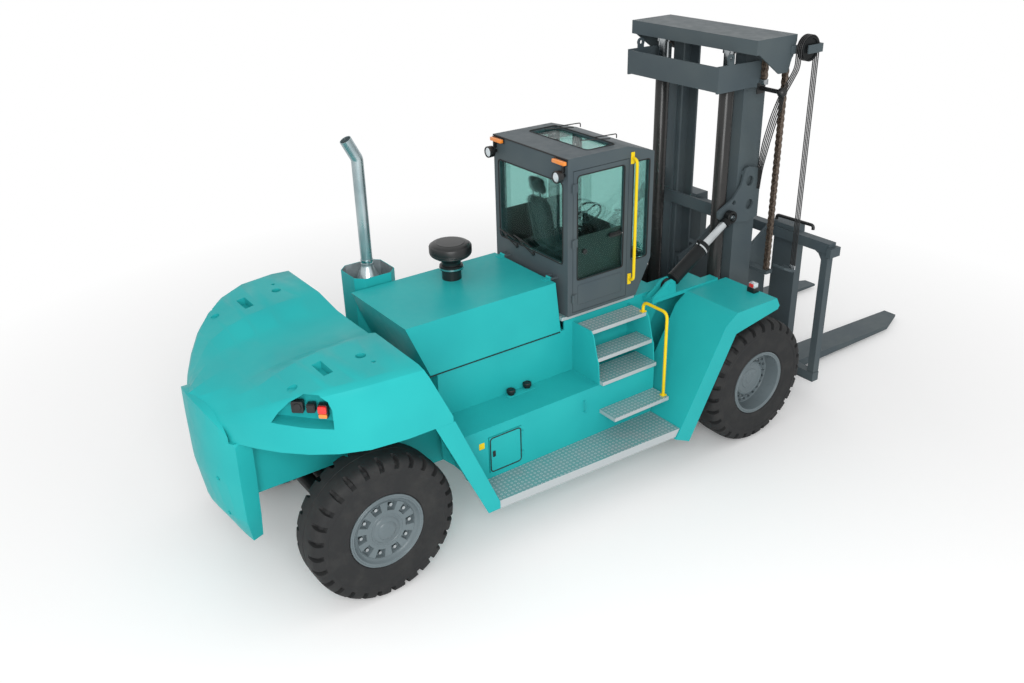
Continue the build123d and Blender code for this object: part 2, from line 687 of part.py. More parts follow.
with BuildPart() as exhaust_stack:
    foot = Plane(origin=(exhaust_x, exhaust_y, shroud_floor_z + 10 + seat_gap))
    drum(foot, [(0, 165), (60, 165), (290, stack_radius), (1440, stack_radius)], 16)
    bend = (exhaust_x, exhaust_y, stack_top_z - 215)
    tip = (exhaust_x - 110, exhaust_y, stack_top_z)
    drum(Plane(origin=bend, z_dir=Vector(*tip) - Vector(*bend)), [(0, stack_radius), (240, stack_radius)], 16)
save(exhaust_stack.part, "exhaust_stack")

# Side tanks below the decks, with the openings of their access hatches
tank_low_z = 560
cheek_wall = 12
tank_tail_x = rear_axle_x + 1198
hatch_rear_x = rear_axle_x + 1330
hatch_front_x = rear_axle_x + 1730
hatch_low_z = 660
hatch_high_z = 1080
hatch_gap = 5
hatch_recess = 300
with BuildPart() as side_tanks:
    for sign in sides.values():
        y_low, y_high = across(sign, bay_y + seat_gap, tank_y)
        wall([
            (tank_tail_x, tank_low_z), (tank_tail_x, tank_low_z + 52), (bay_rear_x, 925), (bay_rear_x, deck_z), (step_front_x, deck_z), (step_front_x, tank_low_z + 100),
            (step_front_x - 52, tank_low_z),
        ], y_low, y_high)
        y_low, y_high = across(sign, tank_y - hatch_recess, tank_y + 1)
        bar((hatch_rear_x, y_low, hatch_low_z), (hatch_front_x, y_high, hatch_high_z), Mode.SUBTRACT)
        for x in (step_rear_x - cheek_wall - seat_gap, step_front_x + seat_gap - cheek_wall):
            plate(Plane(origin=(x, 0, 0), x_dir=(0, 1, 0), z_dir=(1, 0, 0)), [
                (sign * (bay_y + seat_gap), deck_z - 1), (sign * tank_y, deck_z - 1), (sign * tank_y, deck_z + 1),
                (sign * 1030, 1430), (sign * 1005, 1480), (sign * 940, 1720), (sign * 900, 1765),
                (sign * (bay_y + seat_gap), 1765),
            ], cheek_wall)
save(side_tanks.part, "side_tanks")

# Access hatches: a lid with two hinge barrels at its front edge
hatch_hinge_radius = 10
hatch_hinge_x = hatch_front_x + 8
hatch_hinge_y = tank_y + seat_gap + hatch_hinge_radius
for side, sign in sides.items():
    with BuildPart() as access_hatch:
        y_low, y_high = across(sign, tank_y - 8, tank_y + 12)
        lid_low = (hatch_rear_x + hatch_gap, y_low, hatch_low_z + hatch_gap)
        bar(lid_low, (hatch_front_x - hatch_gap, y_high, hatch_high_z - hatch_gap))
        for z in (hatch_low_z + 60, hatch_high_z - 120):
            axis_foot = (hatch_hinge_x, sign * hatch_hinge_y, z)
            pin(axis_foot, (hatch_hinge_x, sign * hatch_hinge_y, z + 60), hatch_hinge_radius)
            y_low, y_high = across(sign, tank_y + 4, tank_y + 12)
            bar((hatch_front_x - 30, y_low, z), (hatch_hinge_x, y_high, z + 60))
    save(access_hatch.part, f"access_hatch_{side}")

# Walkways beside the tanks, their front edge cut along the fender
walkway_low_z = walkway_z - walkway_thickness
with BuildPart() as walkways:
    for sign in sides.values():
        plate(Plane.XY.offset(walkway_low_z), [
            (walkway_rear_x, sign * (tank_y + seat_gap)), (walkway_front_x, sign * (tank_y + seat_gap)),
            (walkway_front_x, sign * walkway_front_y), (walkway_rear_x, sign * walkway_rear_y),
        ], walkway_thickness)
    wall([
        (walkway_front_x - 60, walkway_low_z - 1), (walkway_front_x - 5, walkway_z + 1),
        (walkway_front_x + 9, walkway_z + 1), (walkway_front_x + 9, walkway_low_z - 1),
    ], -half_width, half_width, Mode.SUBTRACT)
save(walkways.part, "walkways")

# Steps. Columns: top of the tread, its inner and its outer y
treads = [
    (890, tank_y + seat_gap, 1300),
    (deck_z + tread_thickness, 760, 1095),
    (1480, 760, 1010),
    (1765, 660, 905),
]
with BuildPart() as steps:
    for sign in sides.values():
        for top, near, far in treads:
            y_low, y_high = across(sign, near, far)
            front_x = step_front_x if top < deck_z else step_front_x - cheek_wall
            bar((step_rear_x, y_low, top - tread_thickness), (front_x, y_high, top))
save(steps.part, "steps")

# Front fenders: folded sheet over the driven wheels with a deep outer lip
fender_top = [(205, 1665), (150, 1765), (-470, 1765), (-640, 1650), (-1297, 480)]
fender_lip_low = [(-1090, 382), (-470, 1512), (182, 1626)]
fender_sheet = 14
with BuildPart() as front_fenders:
    for sign in sides.values():
        y_low, y_high = across(sign, (shoulder_y + seat_gap), half_width)
        top = [(front_axle_x + x, z) for x, z in fender_top]
        under = [(front_axle_x + x + dx, z + dz) for (x, z), (dx, dz) in zip(
            fender_top, ((-2, -10), (-8, -fender_sheet), (4, -fender_sheet), (12, -8), (12, 0)))]
        wall(top + under[::-1], y_low, y_high)
        y_low, y_high = across(sign, (half_width - fender_sheet), half_width)
        low = [(front_axle_x + x, z) for x, z in fender_lip_low]
        wall(low + top, y_low, y_high)
save(front_fenders.part, "front_fenders")

# Rear guards: sloping sheets between the counterweight and the walkways, with a side lip
guard_top_z = counterweight_low_z - seat_gap
guard_y = 1440
guard_foot_x = rear_axle_x + 1188
with BuildPart() as rear_guards:
    for sign in sides.values():
        y_low, y_high = across(sign, tank_y - 200, guard_y)
        wall([
            (rear_axle_x + 710, guard_top_z), (rear_axle_x + 730, guard_top_z), (guard_foot_x, 600),
            (guard_foot_x, 540), (guard_foot_x - 18, 540),
        ], y_low, y_high)
        y_low, y_high = across(sign, guard_y - fender_sheet, guard_y)
        wall([
            (rear_axle_x + 520, guard_top_z), (rear_axle_x + 720, guard_top_z), (guard_foot_x, 590),
            (guard_foot_x, 520), (guard_foot_x - 138, 520),
        ], y_low, y_high)
save(rear_guards.part, "rear_guards")

# Cab shell: walls, pillars, floor and roof frame, with the doorways and windows cut
cab_profile = [
    (cab_rear_x, cab_floor_z), (cab_foot_x, cab_floor_z), (front_axle_x - 985, 2180), (cab_front_x, 2260),
    (cab_front_x, cab_brow_z), (front_axle_x - 1320, cab_roof_z - 8), (cab_rear_x, cab_roof_z),
]
cab_hollow = [
    (cab_rear_x + cab_wall, cab_floor_z + cab_wall), (cab_foot_x - 20, cab_floor_z + cab_wall),
    (front_axle_x - 1030, 2200), (cab_front_x - cab_wall, 2280), (cab_front_x - cab_wall, cab_brow_z - 35),
    (front_axle_x - 1330, cab_roof_z - 55), (cab_rear_x + cab_wall, cab_roof_z - 50),
]
door_rear_x = front_axle_x - 2035
door_front_x = front_axle_x - 1295
door_low_z = cab_floor_z + 30
door_high_z = 3425
door_gap = 6
door_window_low_z = 2245
door_frame = 60
quarter_rear_x = front_axle_x - 1235
quarter_front_x = front_axle_x - 1010
quarter_low_z = 2290
quarter_high_z = 3370
rear_window_y = 560
rear_window_low_z = 2430
rear_window_high_z = 3300
front_window_low_z = 2290
front_window_high_z = 3370
roof_window_rear_x = front_axle_x - 1740
roof_window_front_x = front_axle_x - 1370
roof_window_y = 500
with BuildPart() as cab_shell:
    wall(cab_profile, -cab_y, cab_y)
    wall(cab_hollow, -cab_y + cab_wall, cab_y - cab_wall, Mode.SUBTRACT)
    for sign in sides.values():
        y_low, y_high = across(sign, cab_y - cab_wall - 1, cab_y + 1)
        bar((door_rear_x, y_low, door_low_z), (door_front_x, y_high, door_high_z), Mode.SUBTRACT)
    bar((quarter_rear_x, -cab_y - 1, quarter_low_z), (quarter_front_x, cab_y + 1, quarter_high_z), Mode.SUBTRACT)
    for x, low, high in (
        (cab_rear_x, rear_window_low_z, rear_window_high_z),
        (cab_front_x - cab_wall, front_window_low_z, front_window_high_z),
    ):
        bar((x - 1, -rear_window_y, low), (x + cab_wall + 1, rear_window_y, high), Mode.SUBTRACT)
    bar((roof_window_rear_x, -roof_window_y, cab_roof_z - 80),
        (roof_window_front_x, roof_window_y, cab_roof_z + 20), Mode.SUBTRACT)
    for sign in sides.values():
        for ear_y in (hood_hinge_y - hinge_ear - 2, hood_hinge_y + hood_hinge_length + 2):
            y_low, y_high = across(sign, ear_y, ear_y + hinge_ear)
            bar((hood_hinge_x - 9, y_low, hood_hinge_z - 9), (cab_rear_x + 1, y_high, hood_hinge_z + 9))
        y_low, y_high = across(sign, hood_hinge_y - 3, hood_hinge_y + hood_hinge_length + 3)
        pin((hood_hinge_x, y_low, hood_hinge_z), (hood_hinge_x, y_high, hood_hinge_z), hood_pin_radius)
save(cab_shell.part, "cab_shell")

pane_gap = 0.3
with BuildPart() as cab_glass:
    bar((cab_rear_x + 18, -rear_window_y + pane_gap, rear_window_low_z + pane_gap),
        (cab_rear_x + 18 + cab_glass_thickness, rear_window_y - pane_gap, rear_window_high_z - pane_gap))
    bar((cab_front_x - 26, -rear_window_y + pane_gap, front_window_low_z + pane_gap),
        (cab_front_x - 26 + cab_glass_thickness, rear_window_y - pane_gap, front_window_high_z - pane_gap))
    for sign in sides.values():
        y_low, y_high = across(sign, (cab_y - 18 - cab_glass_thickness), (cab_y - 18))
        bar((quarter_rear_x + pane_gap, y_low, quarter_low_z + pane_gap),
            (quarter_front_x - pane_gap, y_high, quarter_high_z - pane_gap))
    bar((roof_window_rear_x + pane_gap, -roof_window_y + pane_gap, cab_roof_z - 35),
        (roof_window_front_x - pane_gap, roof_window_y - pane_gap, cab_roof_z - 35 + cab_glass_thickness))
save(cab_glass.part, "cab_glass")

# Cab sill on the frame
with BuildPart() as cab_sill:
    bar((cab_rear_x - 60, -cab_y + 20, cab_floor_z - 40 + seat_gap), (cab_foot_x, cab_y - 20, cab_floor_z - seat_gap))
save(cab_sill.part, "cab_sill")

# Cab doors: frame with a kick panel below and one pane above, on hinge barrels at the rear
door_hinge_radius = 14
door_hinge_x = door_rear_x - 4
door_hinge_y = cab_y + seat_gap + door_hinge_radius
hinge_height = 90
for side, sign in sides.items():
    with BuildPart() as cab_door:
        y_low, y_high = across(sign, cab_y - cab_wall, cab_y)
        bar((door_rear_x + door_gap, y_low, door_low_z + door_gap),
            (door_front_x - door_gap, y_high, door_high_z - door_gap))
        bar((door_rear_x + door_frame, y_low - 1, door_window_low_z),
            (door_front_x - door_frame, y_high + 1, door_high_z - door_frame), Mode.SUBTRACT)
        for z in (door_low_z + 120, 2620, door_high_z - 220):
            hinge_foot = (door_hinge_x, sign * door_hinge_y, z)
            pin(hinge_foot, (door_hinge_x, sign * door_hinge_y, z + hinge_height), door_hinge_radius)
            y_low, y_high = across(sign, cab_y - 1, cab_y + 10)
            bar((door_rear_x + door_gap, y_low, z), (door_rear_x + 55, y_high, z + hinge_height))
            y_low, y_high = across(sign, cab_y + 2, cab_y + 10)
            bar((door_hinge_x, y_low, z), (door_rear_x + door_gap, y_high, z + hinge_height))
    save(cab_door.part, f"cab_door_{side}")
    with BuildPart() as door_glass:
        y_low, y_high = across(sign, cab_y - 18 - cab_glass_thickness, cab_y - 18)
        bar((door_rear_x + door_frame + pane_gap, y_low, door_window_low_z + pane_gap),
            (door_front_x - door_frame - pane_gap, y_high, door_high_z - door_frame - pane_gap))
    save(door_glass.part, f"door_glass_{side}")

# Driver's seat: base, cushion, back and headrest
seat_x = front_axle_x - 1700
seat_floor_z = cab_floor_z + cab_wall + seat_gap
with BuildPart() as seat:
    bar((seat_x - 200, -200, seat_floor_z), (seat_x + 200, 200, seat_floor_z + 330))
    bar((seat_x - 250, -260, seat_floor_z + 330), (seat_x + 270, 260, seat_floor_z + 460))
    wall([
        (seat_x - 200, seat_floor_z + 440), (seat_x - 340, seat_floor_z + 1130),
        (seat_x - 240, seat_floor_z + 1130), (seat_x - 90, seat_floor_z + 440),
    ], -250, 250)
    wall([
        (seat_x - 325, seat_floor_z + 1120), (seat_x - 360, seat_floor_z + 1330),
        (seat_x - 270, seat_floor_z + 1330), (seat_x - 245, seat_floor_z + 1120),
    ], -140, 140)
save(seat.part, "seat")

# Steering console: column, dashboard and wheel
console_x = front_axle_x - 1230
with BuildPart() as steering_console:
    bar((console_x - 60, -130, seat_floor_z), (console_x + 60, 130, seat_floor_z + 520))
    rod((console_x, 0, seat_floor_z + 480), (console_x - 130, 0, seat_floor_z + 760), 40)
    with BuildSketch(Plane(origin=(console_x - 130, 0, seat_floor_z + 760), z_dir=(-130, 0, 280))) as disc:
        RegularPolygon(200, 24)
        RegularPolygon(172, 24, mode=Mode.SUBTRACT)
        Rectangle(30, 360)
        Rectangle(360, 30)
    extrude(to_extrude=disc.sketch, amount=26)
save(steering_console.part, "steering_console")

# Lamps: two work lamps and two indicators under the roof's rear edge, three in each niche of the
# counterweight, one on each front fender.
# Columns: distance along the niche, z, half width, half height
niche_lamps = [(235, 2112, 52, 55), (352, 2104, 38, 42), (455, 2078, 42, 66)]
roof_lamp_y = 590
roof_lamp_z = cab_roof_z - 170
roof_lamp_radius = 62
indicator_y = 540
with BuildPart() as lamps:
    for sign in sides.values():
        y_low, y_high = across(sign, indicator_y - 100, indicator_y + 100)
        bar((cab_rear_x - 52, y_low, cab_roof_z - 62), (cab_rear_x - seat_gap, y_high, cab_roof_z - 22))
        lamp_back = (cab_rear_x - seat_gap, sign * roof_lamp_y, roof_lamp_z)
        drum(Plane(origin=lamp_back, z_dir=(-1, 0, 0)), [(0, 20), (30, 20), (50, roof_lamp_radius), (120, roof_lamp_radius)], 12)
        along = Vector(niche_front[0] - niche_tip[0], sign * (niche_front[1] - niche_tip[1]), 0).normalized()
        inward = Vector(0, 0, 1).cross(along) * -sign
        for s, z, half_wide, half_high in niche_lamps:
            back = Vector(niche_tip[0], sign * niche_tip[1], z) + along * s + inward * (niche_depth - seat_gap)
            base = Plane(origin=back, x_dir=along, z_dir=-inward)
            plate(base, [(-18, -18), (18, -18), (18, 18), (-18, 18)], 60)
            plate(base.offset(50), [(-half_wide, -half_high), (half_wide, -half_high), (half_wide, half_high),
                                    (-half_wide, half_high)], 70)
        y_low, y_high = across(sign, 1180, 1290)
        bar((front_axle_x + 40, y_low, fender_top[1][1] + seat_gap), (front_axle_x + 130, y_high, fender_top[1][1] + 120))
save(lamps.part, "lamps")

# Outer mast: channel uprights open inwards, foot lugs on the pivot pins, cross members
lug_near_y = beam_y + 7
lug_far_y = 462
outer_flange_y = 450
cylinder_foot_z = 940
cylinder_shelf = 30
foot_member_low_z = 780
foot_member_high_z = 900
middle_member_low_z = 2330
middle_member_high_z = 2480
member_thickness = 30
pin_radius = 55
with BuildPart() as outer_mast:
    for sign in sides.values():
        web_y = sign * (outer_mast_y - mast_plate)
        plate(Plane.XY.offset(mast_foot_z), [
            (outer_mast_rear_x, sign * outer_flange_y), (outer_mast_rear_x, sign * outer_mast_y),
            (outer_mast_front_x, sign * outer_mast_y), (outer_mast_front_x, sign * outer_flange_y),
            (outer_mast_front_x - mast_plate, sign * outer_flange_y), (outer_mast_front_x - mast_plate, web_y),
            (outer_mast_rear_x + mast_plate, web_y), (outer_mast_rear_x + mast_plate, sign * outer_flange_y),
        ], outer_mast_top_z - mast_foot_z)
        y_low, y_high = across(sign, lug_near_y, lug_far_y)
        wall([
            (mast_pivot_x - 90, mast_pivot_z - 80), (mast_pivot_x - 90, mast_pivot_z + 70),
            (mast_pivot_x, cylinder_foot_z - cylinder_shelf), (outer_mast_rear_x, cylinder_foot_z - cylinder_shelf),
            (outer_mast_rear_x, mast_foot_z), (mast_pivot_x + 40, mast_foot_z + 100),
        ], y_low, y_high)
        bore = pin_radius + seat_gap
        pin((mast_pivot_x, y_low, mast_pivot_z), (mast_pivot_x, y_high, mast_pivot_z), bore, Mode.SUBTRACT)
        y_low, y_high = across(sign, lug_near_y, outer_mast_y)
        bar((lift_cylinder_x - lift_cylinder_radius, y_low, cylinder_foot_z - cylinder_shelf),
            (outer_mast_rear_x, y_high, cylinder_foot_z))
    bar((outer_mast_rear_x - member_thickness, -outer_mast_y, middle_member_low_z),
        (outer_mast_rear_x, outer_mast_y, middle_member_high_z))
    bar((outer_mast_rear_x - member_thickness, -lug_far_y, foot_member_low_z),
        (outer_mast_rear_x, lug_far_y, foot_member_high_z))
save(outer_mast.part, "outer_mast")

# Top beam of the outer mast: box on its uprights, side arms with lifting eyes, rings for the cylinders
top_beam_low_z = outer_mast_top_z + seat_gap
side_arm_near_y = 686
side_arm_front_x = front_axle_x + 520
top_plate = 25
mast_eye_x = front_axle_x + 34
mast_eye_z = top_beam_z + 70
mast_eye_radius = 48
mast_eye_bore = 24
with BuildPart() as mast_top_beam:
    for sign in sides.values():
        y_low, y_high = across(sign, side_arm_near_y, top_beam_y)
        wall([
            (top_beam_rear_x, top_beam_low_z - 13), (top_beam_rear_x, top_beam_z + 10), (side_arm_front_x, top_beam_z),
            (side_arm_front_x, top_beam_low_z - 40), (outer_mast_rear_x, top_beam_low_z - 13),
        ], y_low, y_high)
        rod((mast_eye_x, y_low, mast_eye_z), (mast_eye_x, y_high, mast_eye_z), mast_eye_radius)
        bar((mast_eye_x - 40, y_low, top_beam_z), (mast_eye_x + 40, y_high, mast_eye_z))
        rod((mast_eye_x, y_low, mast_eye_z), (mast_eye_x, y_high, mast_eye_z), mast_eye_bore, Mode.SUBTRACT)
        y_low, y_high = across(sign, outer_mast_y - mast_plate, side_arm_near_y + 1)
        bar((outer_mast_rear_x, y_low, top_beam_low_z), (outer_mast_rear_x + 110, y_high, top_beam_low_z + 35))
    bar((top_beam_rear_x, -side_arm_near_y - 1, top_beam_low_z), (top_beam_rear_x + 30, side_arm_near_y + 1, top_beam_z))
    bar((top_beam_rear_x, -side_arm_near_y - 1, top_beam_low_z),
        (outer_mast_rear_x + 1, side_arm_near_y + 1, top_beam_low_z + top_plate))
    for sign in sides.values():
        beam_hole = (lift_cylinder_x, sign * lift_cylinder_y, top_beam_low_z - 20)
        rod(beam_hole, (*beam_hole[:2], top_beam_low_z + 60), lift_cylinder_radius, Mode.SUBTRACT)
save(mast_top_beam.part, "mast_top_beam")

# Tilt brackets: curved plates on the uprights, each with the pin of a tilt rod and two round windows.
# Columns: x ahead of the driven axle, z
tilt_plate_y = 640
tilt_plate_thickness = 28
tilt_plate_outline = [
    (150, 2405), (85, 2460), (78, 2540), (310, 2650), (430, 2790), (458, 2900), (482, 2976), (531, 2990), (738, 2930),
    (738, 2356), (560, 2325), (300, 2370),
]
tilt_plate_windows = [(564, 2814), (585, 2531)]
with BuildPart() as tilt_brackets:
    for sign in sides.values():
        y_low, y_high = across(sign, tilt_plate_y - tilt_plate_thickness, tilt_plate_y)
        wall([(front_axle_x + x, z) for x, z in tilt_plate_outline], y_low, y_high)
        for x, z in tilt_plate_windows:
            rod((front_axle_x + x, y_low, z), (front_axle_x + x, y_high, z), 60, Mode.SUBTRACT)
        rod((front_axle_x + 327, y_low, 2600), (front_axle_x + 327, y_high, 2600), 27, Mode.SUBTRACT)
        y_low, y_high = across(sign, outer_mast_y + seat_gap, tilt_plate_y - tilt_plate_thickness + 1)
        for low in (2370, 2640, 2900):
            bar((outer_mast_rear_x + 60, y_low, low), (outer_mast_front_x - 60, y_high, low + 45))
        y_low, y_high = across(sign, tilt_plate_y - 1, tilt_y + 52)
        rod((tilt_high_x, y_low, tilt_high_z), (tilt_high_x, y_high, tilt_high_z), tilt_high_pin_radius)
save(tilt_brackets.part, "tilt_brackets")

# Lift cylinders: barrels behind the uprights, their rods carrying the head of the inner mast
barrel_top_z = top_beam_z - 200
head_floor_z = head_top_z - 140
with BuildPart() as lift_barrels:
    for sign in sides.values():
        centre = (lift_cylinder_x, sign * lift_cylinder_y)
        rod((*centre, cylinder_foot_z + seat_gap), (*centre, barrel_top_z), lift_cylinder_radius - seat_gap)
        rod((*centre, cylinder_foot_z + 60), (*centre, barrel_top_z), lift_rod_radius + rod_clearance, Mode.SUBTRACT)
save(lift_barrels.part, "lift_barrels")

with BuildPart() as lift_rods:
    for sign in sides.values():
        centre = (lift_cylinder_x, sign * lift_cylinder_y)
        rod((*centre, cylinder_foot_z + 120), (*centre, head_floor_z - seat_gap), lift_rod_radius)
save(lift_rods.part, "lift_rods")

# Inner mast: channels nested in the outer ones, head box above, cross members in front
inner_web_y = outer_mast_y - mast_plate - mast_gap
inner_rear_x = outer_mast_rear_x + mast_plate + mast_gap
inner_front_x = outer_mast_front_x - mast_plate - mast_gap
inner_foot_z = 300
inner_flange_y = 400
sheave_x = front_axle_x + 685
sheave_z = head_top_z - 210
sheave_radius = 150
sheave_pin_radius = 35
chain_y = 756
head_plate = 25
head_low_z = head_top_z - 150
hose_sheave_x = front_axle_x + 860
hose_sheave_y = 1022
hose_sheave_z = head_top_z - 155
hose_sheave_radius = 132
hose_sheave_half = 38
hose_pin_radius = 22
hose_arm = 14
hose_arm_gap = 8
with BuildPart() as inner_mast:
    for sign in sides.values():
        inside_y = sign * (inner_web_y - mast_plate)
        plate(Plane.XY.offset(inner_foot_z), [
            (inner_rear_x, sign * inner_flange_y), (inner_rear_x, sign * inner_web_y),
            (inner_front_x, sign * inner_web_y), (inner_front_x, sign * inner_flange_y),
            (inner_front_x - mast_plate, sign * inner_flange_y), (inner_front_x - mast_plate, inside_y),
            (inner_rear_x + mast_plate, inside_y), (inner_rear_x + mast_plate, sign * inner_flange_y),
        ], head_top_z - head_plate - inner_foot_z)
        y_low, y_high = across(sign, head_y - 20, head_y)
        wall([
            (head_rear_x, head_low_z), (head_rear_x + 45, head_low_z), (front_axle_x + 500, head_top_z - 385),
            (front_axle_x + 640, head_top_z - 385), (head_front_x, head_top_z - 70), (head_front_x, head_top_z), (head_rear_x, head_top_z),
        ], y_low, y_high)
        y_low, y_high = across(sign, inner_web_y - 10, head_y - 10)
        rod((sheave_x, y_low, sheave_z), (sheave_x, y_high, sheave_z), sheave_pin_radius)
    bar((head_rear_x, -head_y, head_top_z - head_plate), (head_front_x, head_y, head_top_z))
    bar((head_rear_x, -head_y, head_low_z), (head_rear_x + 20, head_y, head_top_z))
    bar((head_rear_x + 20, -600, head_floor_z), (front_axle_x + 300, 600, head_floor_z + 20))
    bar((inner_rear_x - 2, -inner_web_y, head_low_z - 70), (inner_rear_x + 20, inner_web_y, head_top_z))
    hose_front_x = hose_sheave_x + hose_sheave_radius + 40
    inner_arm_y = -hose_sheave_y + hose_sheave_half + hose_arm_gap
    outer_arm_y = -hose_sheave_y - hose_sheave_half - hose_arm_gap
    arm_low_z, arm_high_z = hose_sheave_z - 45, hose_sheave_z + 45
    bar((head_front_x - 90, inner_arm_y, arm_low_z), (hose_front_x, -head_y + 1, arm_high_z))
    bar((hose_sheave_x - 60, outer_arm_y - hose_arm, arm_low_z), (hose_front_x, outer_arm_y, arm_high_z))
    bar((hose_front_x - hose_arm, outer_arm_y - 1, arm_low_z), (hose_front_x, inner_arm_y + 1, arm_high_z))
    pin_start = (hose_sheave_x, outer_arm_y - 1, hose_sheave_z)
    rod(pin_start, (hose_sheave_x, inner_arm_y + 1, hose_sheave_z), hose_pin_radius)
    bar((inner_rear_x, -inner_flange_y - 20, inner_foot_z), (inner_rear_x + 20, inner_flange_y + 20, inner_foot_z + 140))
    bar((inner_rear_x, -inner_flange_y - 20, 2300), (inner_rear_x + 20, inner_flange_y + 20, 2420))
save(inner_mast.part, "inner_mast")

with BuildPart() as chain_sheaves:
    for sign in sides.values():
        y_low, y_high = across(sign, (chain_y - 32), (chain_y + 32))
        rod((sheave_x, y_low, sheave_z), (sheave_x, y_high, sheave_z), sheave_radius)
        bore = sheave_pin_radius + seat_gap
        rod((sheave_x, y_low, sheave_z), (sheave_x, y_high, sheave_z), bore, Mode.SUBTRACT)
    y_low = -hose_sheave_y - hose_sheave_half
    y_high = -hose_sheave_y + hose_sheave_half
    hose_wheel = Plane(origin=(hose_sheave_x, y_low, hose_sheave_z), x_dir=(1, 0, 0), z_dir=(0, 1, 0))
    drum(hose_wheel, [(0, hose_sheave_radius), (y_high - y_low, hose_sheave_radius)], 20)
    bore = hose_pin_radius + seat_gap
    rod((hose_sheave_x, y_low, hose_sheave_z), (hose_sheave_x, y_high, hose_sheave_z), bore, Mode.SUBTRACT)
save(chain_sheaves.part, "chain_sheaves")

# Hoses: four in a flat band over their sheave, hanging in front of it and behind it
hose_radius = 9
hose_count = 4
hose_pitch = 19
hose_front_z = 1640
hose_rear_z = 3700
hose_flats = 6
with BuildPart() as mast_hoses:
    reach = hose_sheave_radius / math.cos(math.pi / 20) / math.cos(math.pi / 24) + seat_gap + hose_radius
    for number in range(hose_count):
        y = -hose_sheave_y + (number - (hose_count - 1) / 2) * hose_pitch
        for x, foot_z in ((hose_sheave_x - reach, hose_rear_z), (hose_sheave_x + reach, hose_front_z)):
            drum(Plane(origin=(x, y, foot_z)), [(0, hose_radius), (hose_sheave_z - foot_z, hose_radius)], hose_flats)
    band_half = (hose_count - 1) / 2 * hose_pitch + hose_radius
    band_plane = Plane(origin=(hose_sheave_x, -hose_sheave_y + band_half, hose_sheave_z), x_dir=(1, 0, 0),
                       z_dir=(0, -1, 0))
    outline = []
    for radius, turns in ((reach + hose_radius, range(13)), (reach - hose_radius, range(12, -1, -1))):
        for turn in turns:
            angle = math.pi * turn / 12
            outline.append((radius * math.cos(angle), radius * math.sin(angle)))
    plate(band_plane, outline, 2 * band_half)
save(mast_hoses.part, "mast_hoses")

# Carriage: roller plates inside the inner mast, cross beams and end posts in front
roller_x = (inner_rear_x + inner_front_x) / 2
roller_radius = (inner_front_x - inner_rear_x) / 2 - mast_plate - rod_clearance
carriage_plate_y = 383
post_y = 1190
chain_bar_z = 1680
with BuildPart() as carriage:
    for sign in sides.values():
        y_low, y_high = across(sign, (carriage_plate_y - 38), carriage_plate_y)
        wall([
            (roller_x - 90, 360), (roller_x - 90, 1600), (front_axle_x + 760, 1700),
            (carriage_rear_x + 1, carriage_top_z), (carriage_rear_x + 1, carriage_foot_z), (front_axle_x + 760, 300),
        ], y_low, y_high)
        for z in (470, 1480):
            y_low, y_high = across(sign, (carriage_plate_y - 2), (inner_web_y - mast_plate - 6))
            rod((roller_x, y_low, z), (roller_x, y_high, z), roller_radius)
        y_low, y_high = across(sign, post_y, (post_y + 92))
        bar((carriage_rear_x + 10, y_low, carriage_foot_z), (carriage_front_x - 15, y_high, carriage_top_z - 10))
        y_low, y_high = across(sign, carriage_y - 14, carriage_y + 50)
        bar((carriage_rear_x - 25, y_low, carriage_top_z - 160), (carriage_front_x + 30, y_high, carriage_top_z - 50))
        plate(Plane(origin=(carriage_rear_x + 30, 0, 0), x_dir=(0, 1, 0), z_dir=(1, 0, 0)), [
            (sign * (post_y + 1), carriage_top_z - 120), (sign * (post_y - 150), carriage_top_z - 120),
            (sign * (post_y - 60), carriage_top_z - 165), (sign * (post_y - 15), carriage_top_z - 230),
            (sign * (post_y + 1), carriage_top_z - 320),
        ], 30)
    bar((carriage_rear_x, -carriage_y, carriage_top_z - 125), (carriage_front_x, carriage_y, carriage_top_z))
    bar((carriage_rear_x, -carriage_y, carriage_foot_z), (carriage_front_x - 15, carriage_y, carriage_foot_z + 120))
    bar((front_axle_x + 790, -carriage_plate_y, 1640), (front_axle_x + 820, carriage_plate_y, 1720))
    bar((front_axle_x + 800, -chain_y - 50, chain_bar_z - 40), (front_axle_x + 910, chain_y + 50, chain_bar_z))
save(carriage.part, "carriage")

# Lift chains: from the beam of the outer mast over the sheaves to the carriage
chain_width = 56
chain_thickness = 40
chain_rear_x = sheave_x - sheave_radius - chain_thickness / 2 - seat_gap
chain_front_x = sheave_x + sheave_radius + chain_thickness / 2 + seat_gap
chain_anchor_z = outer_mast_top_z + 5
with BuildPart() as chain_front:
    for sign in sides.values():
        y_low, y_high = across(sign, chain_y - chain_width / 2, chain_y + chain_width / 2)
        bar((chain_front_x - chain_thickness / 2, y_low, chain_bar_z + seat_gap),
            (chain_front_x + chain_thickness / 2, y_high, sheave_z))
save(chain_front.part, "lift_chain_front")

with BuildPart() as chain_rear:
    for sign in sides.values():
        y_low, y_high = across(sign, chain_y - chain_width / 2, chain_y + chain_width / 2)
        bar((chain_rear_x - chain_thickness / 2, y_low, chain_anchor_z + 60),
            (chain_rear_x + chain_thickness / 2, y_high, sheave_z))
        y_low, y_high = across(sign, top_beam_y + seat_gap, chain_y + chain_width / 2 + 6)
        bar((chain_rear_x - 35, y_low, chain_anchor_z), (chain_rear_x + 35, y_high, chain_anchor_z + 60))
save(chain_rear.part, "lift_chain_rear")

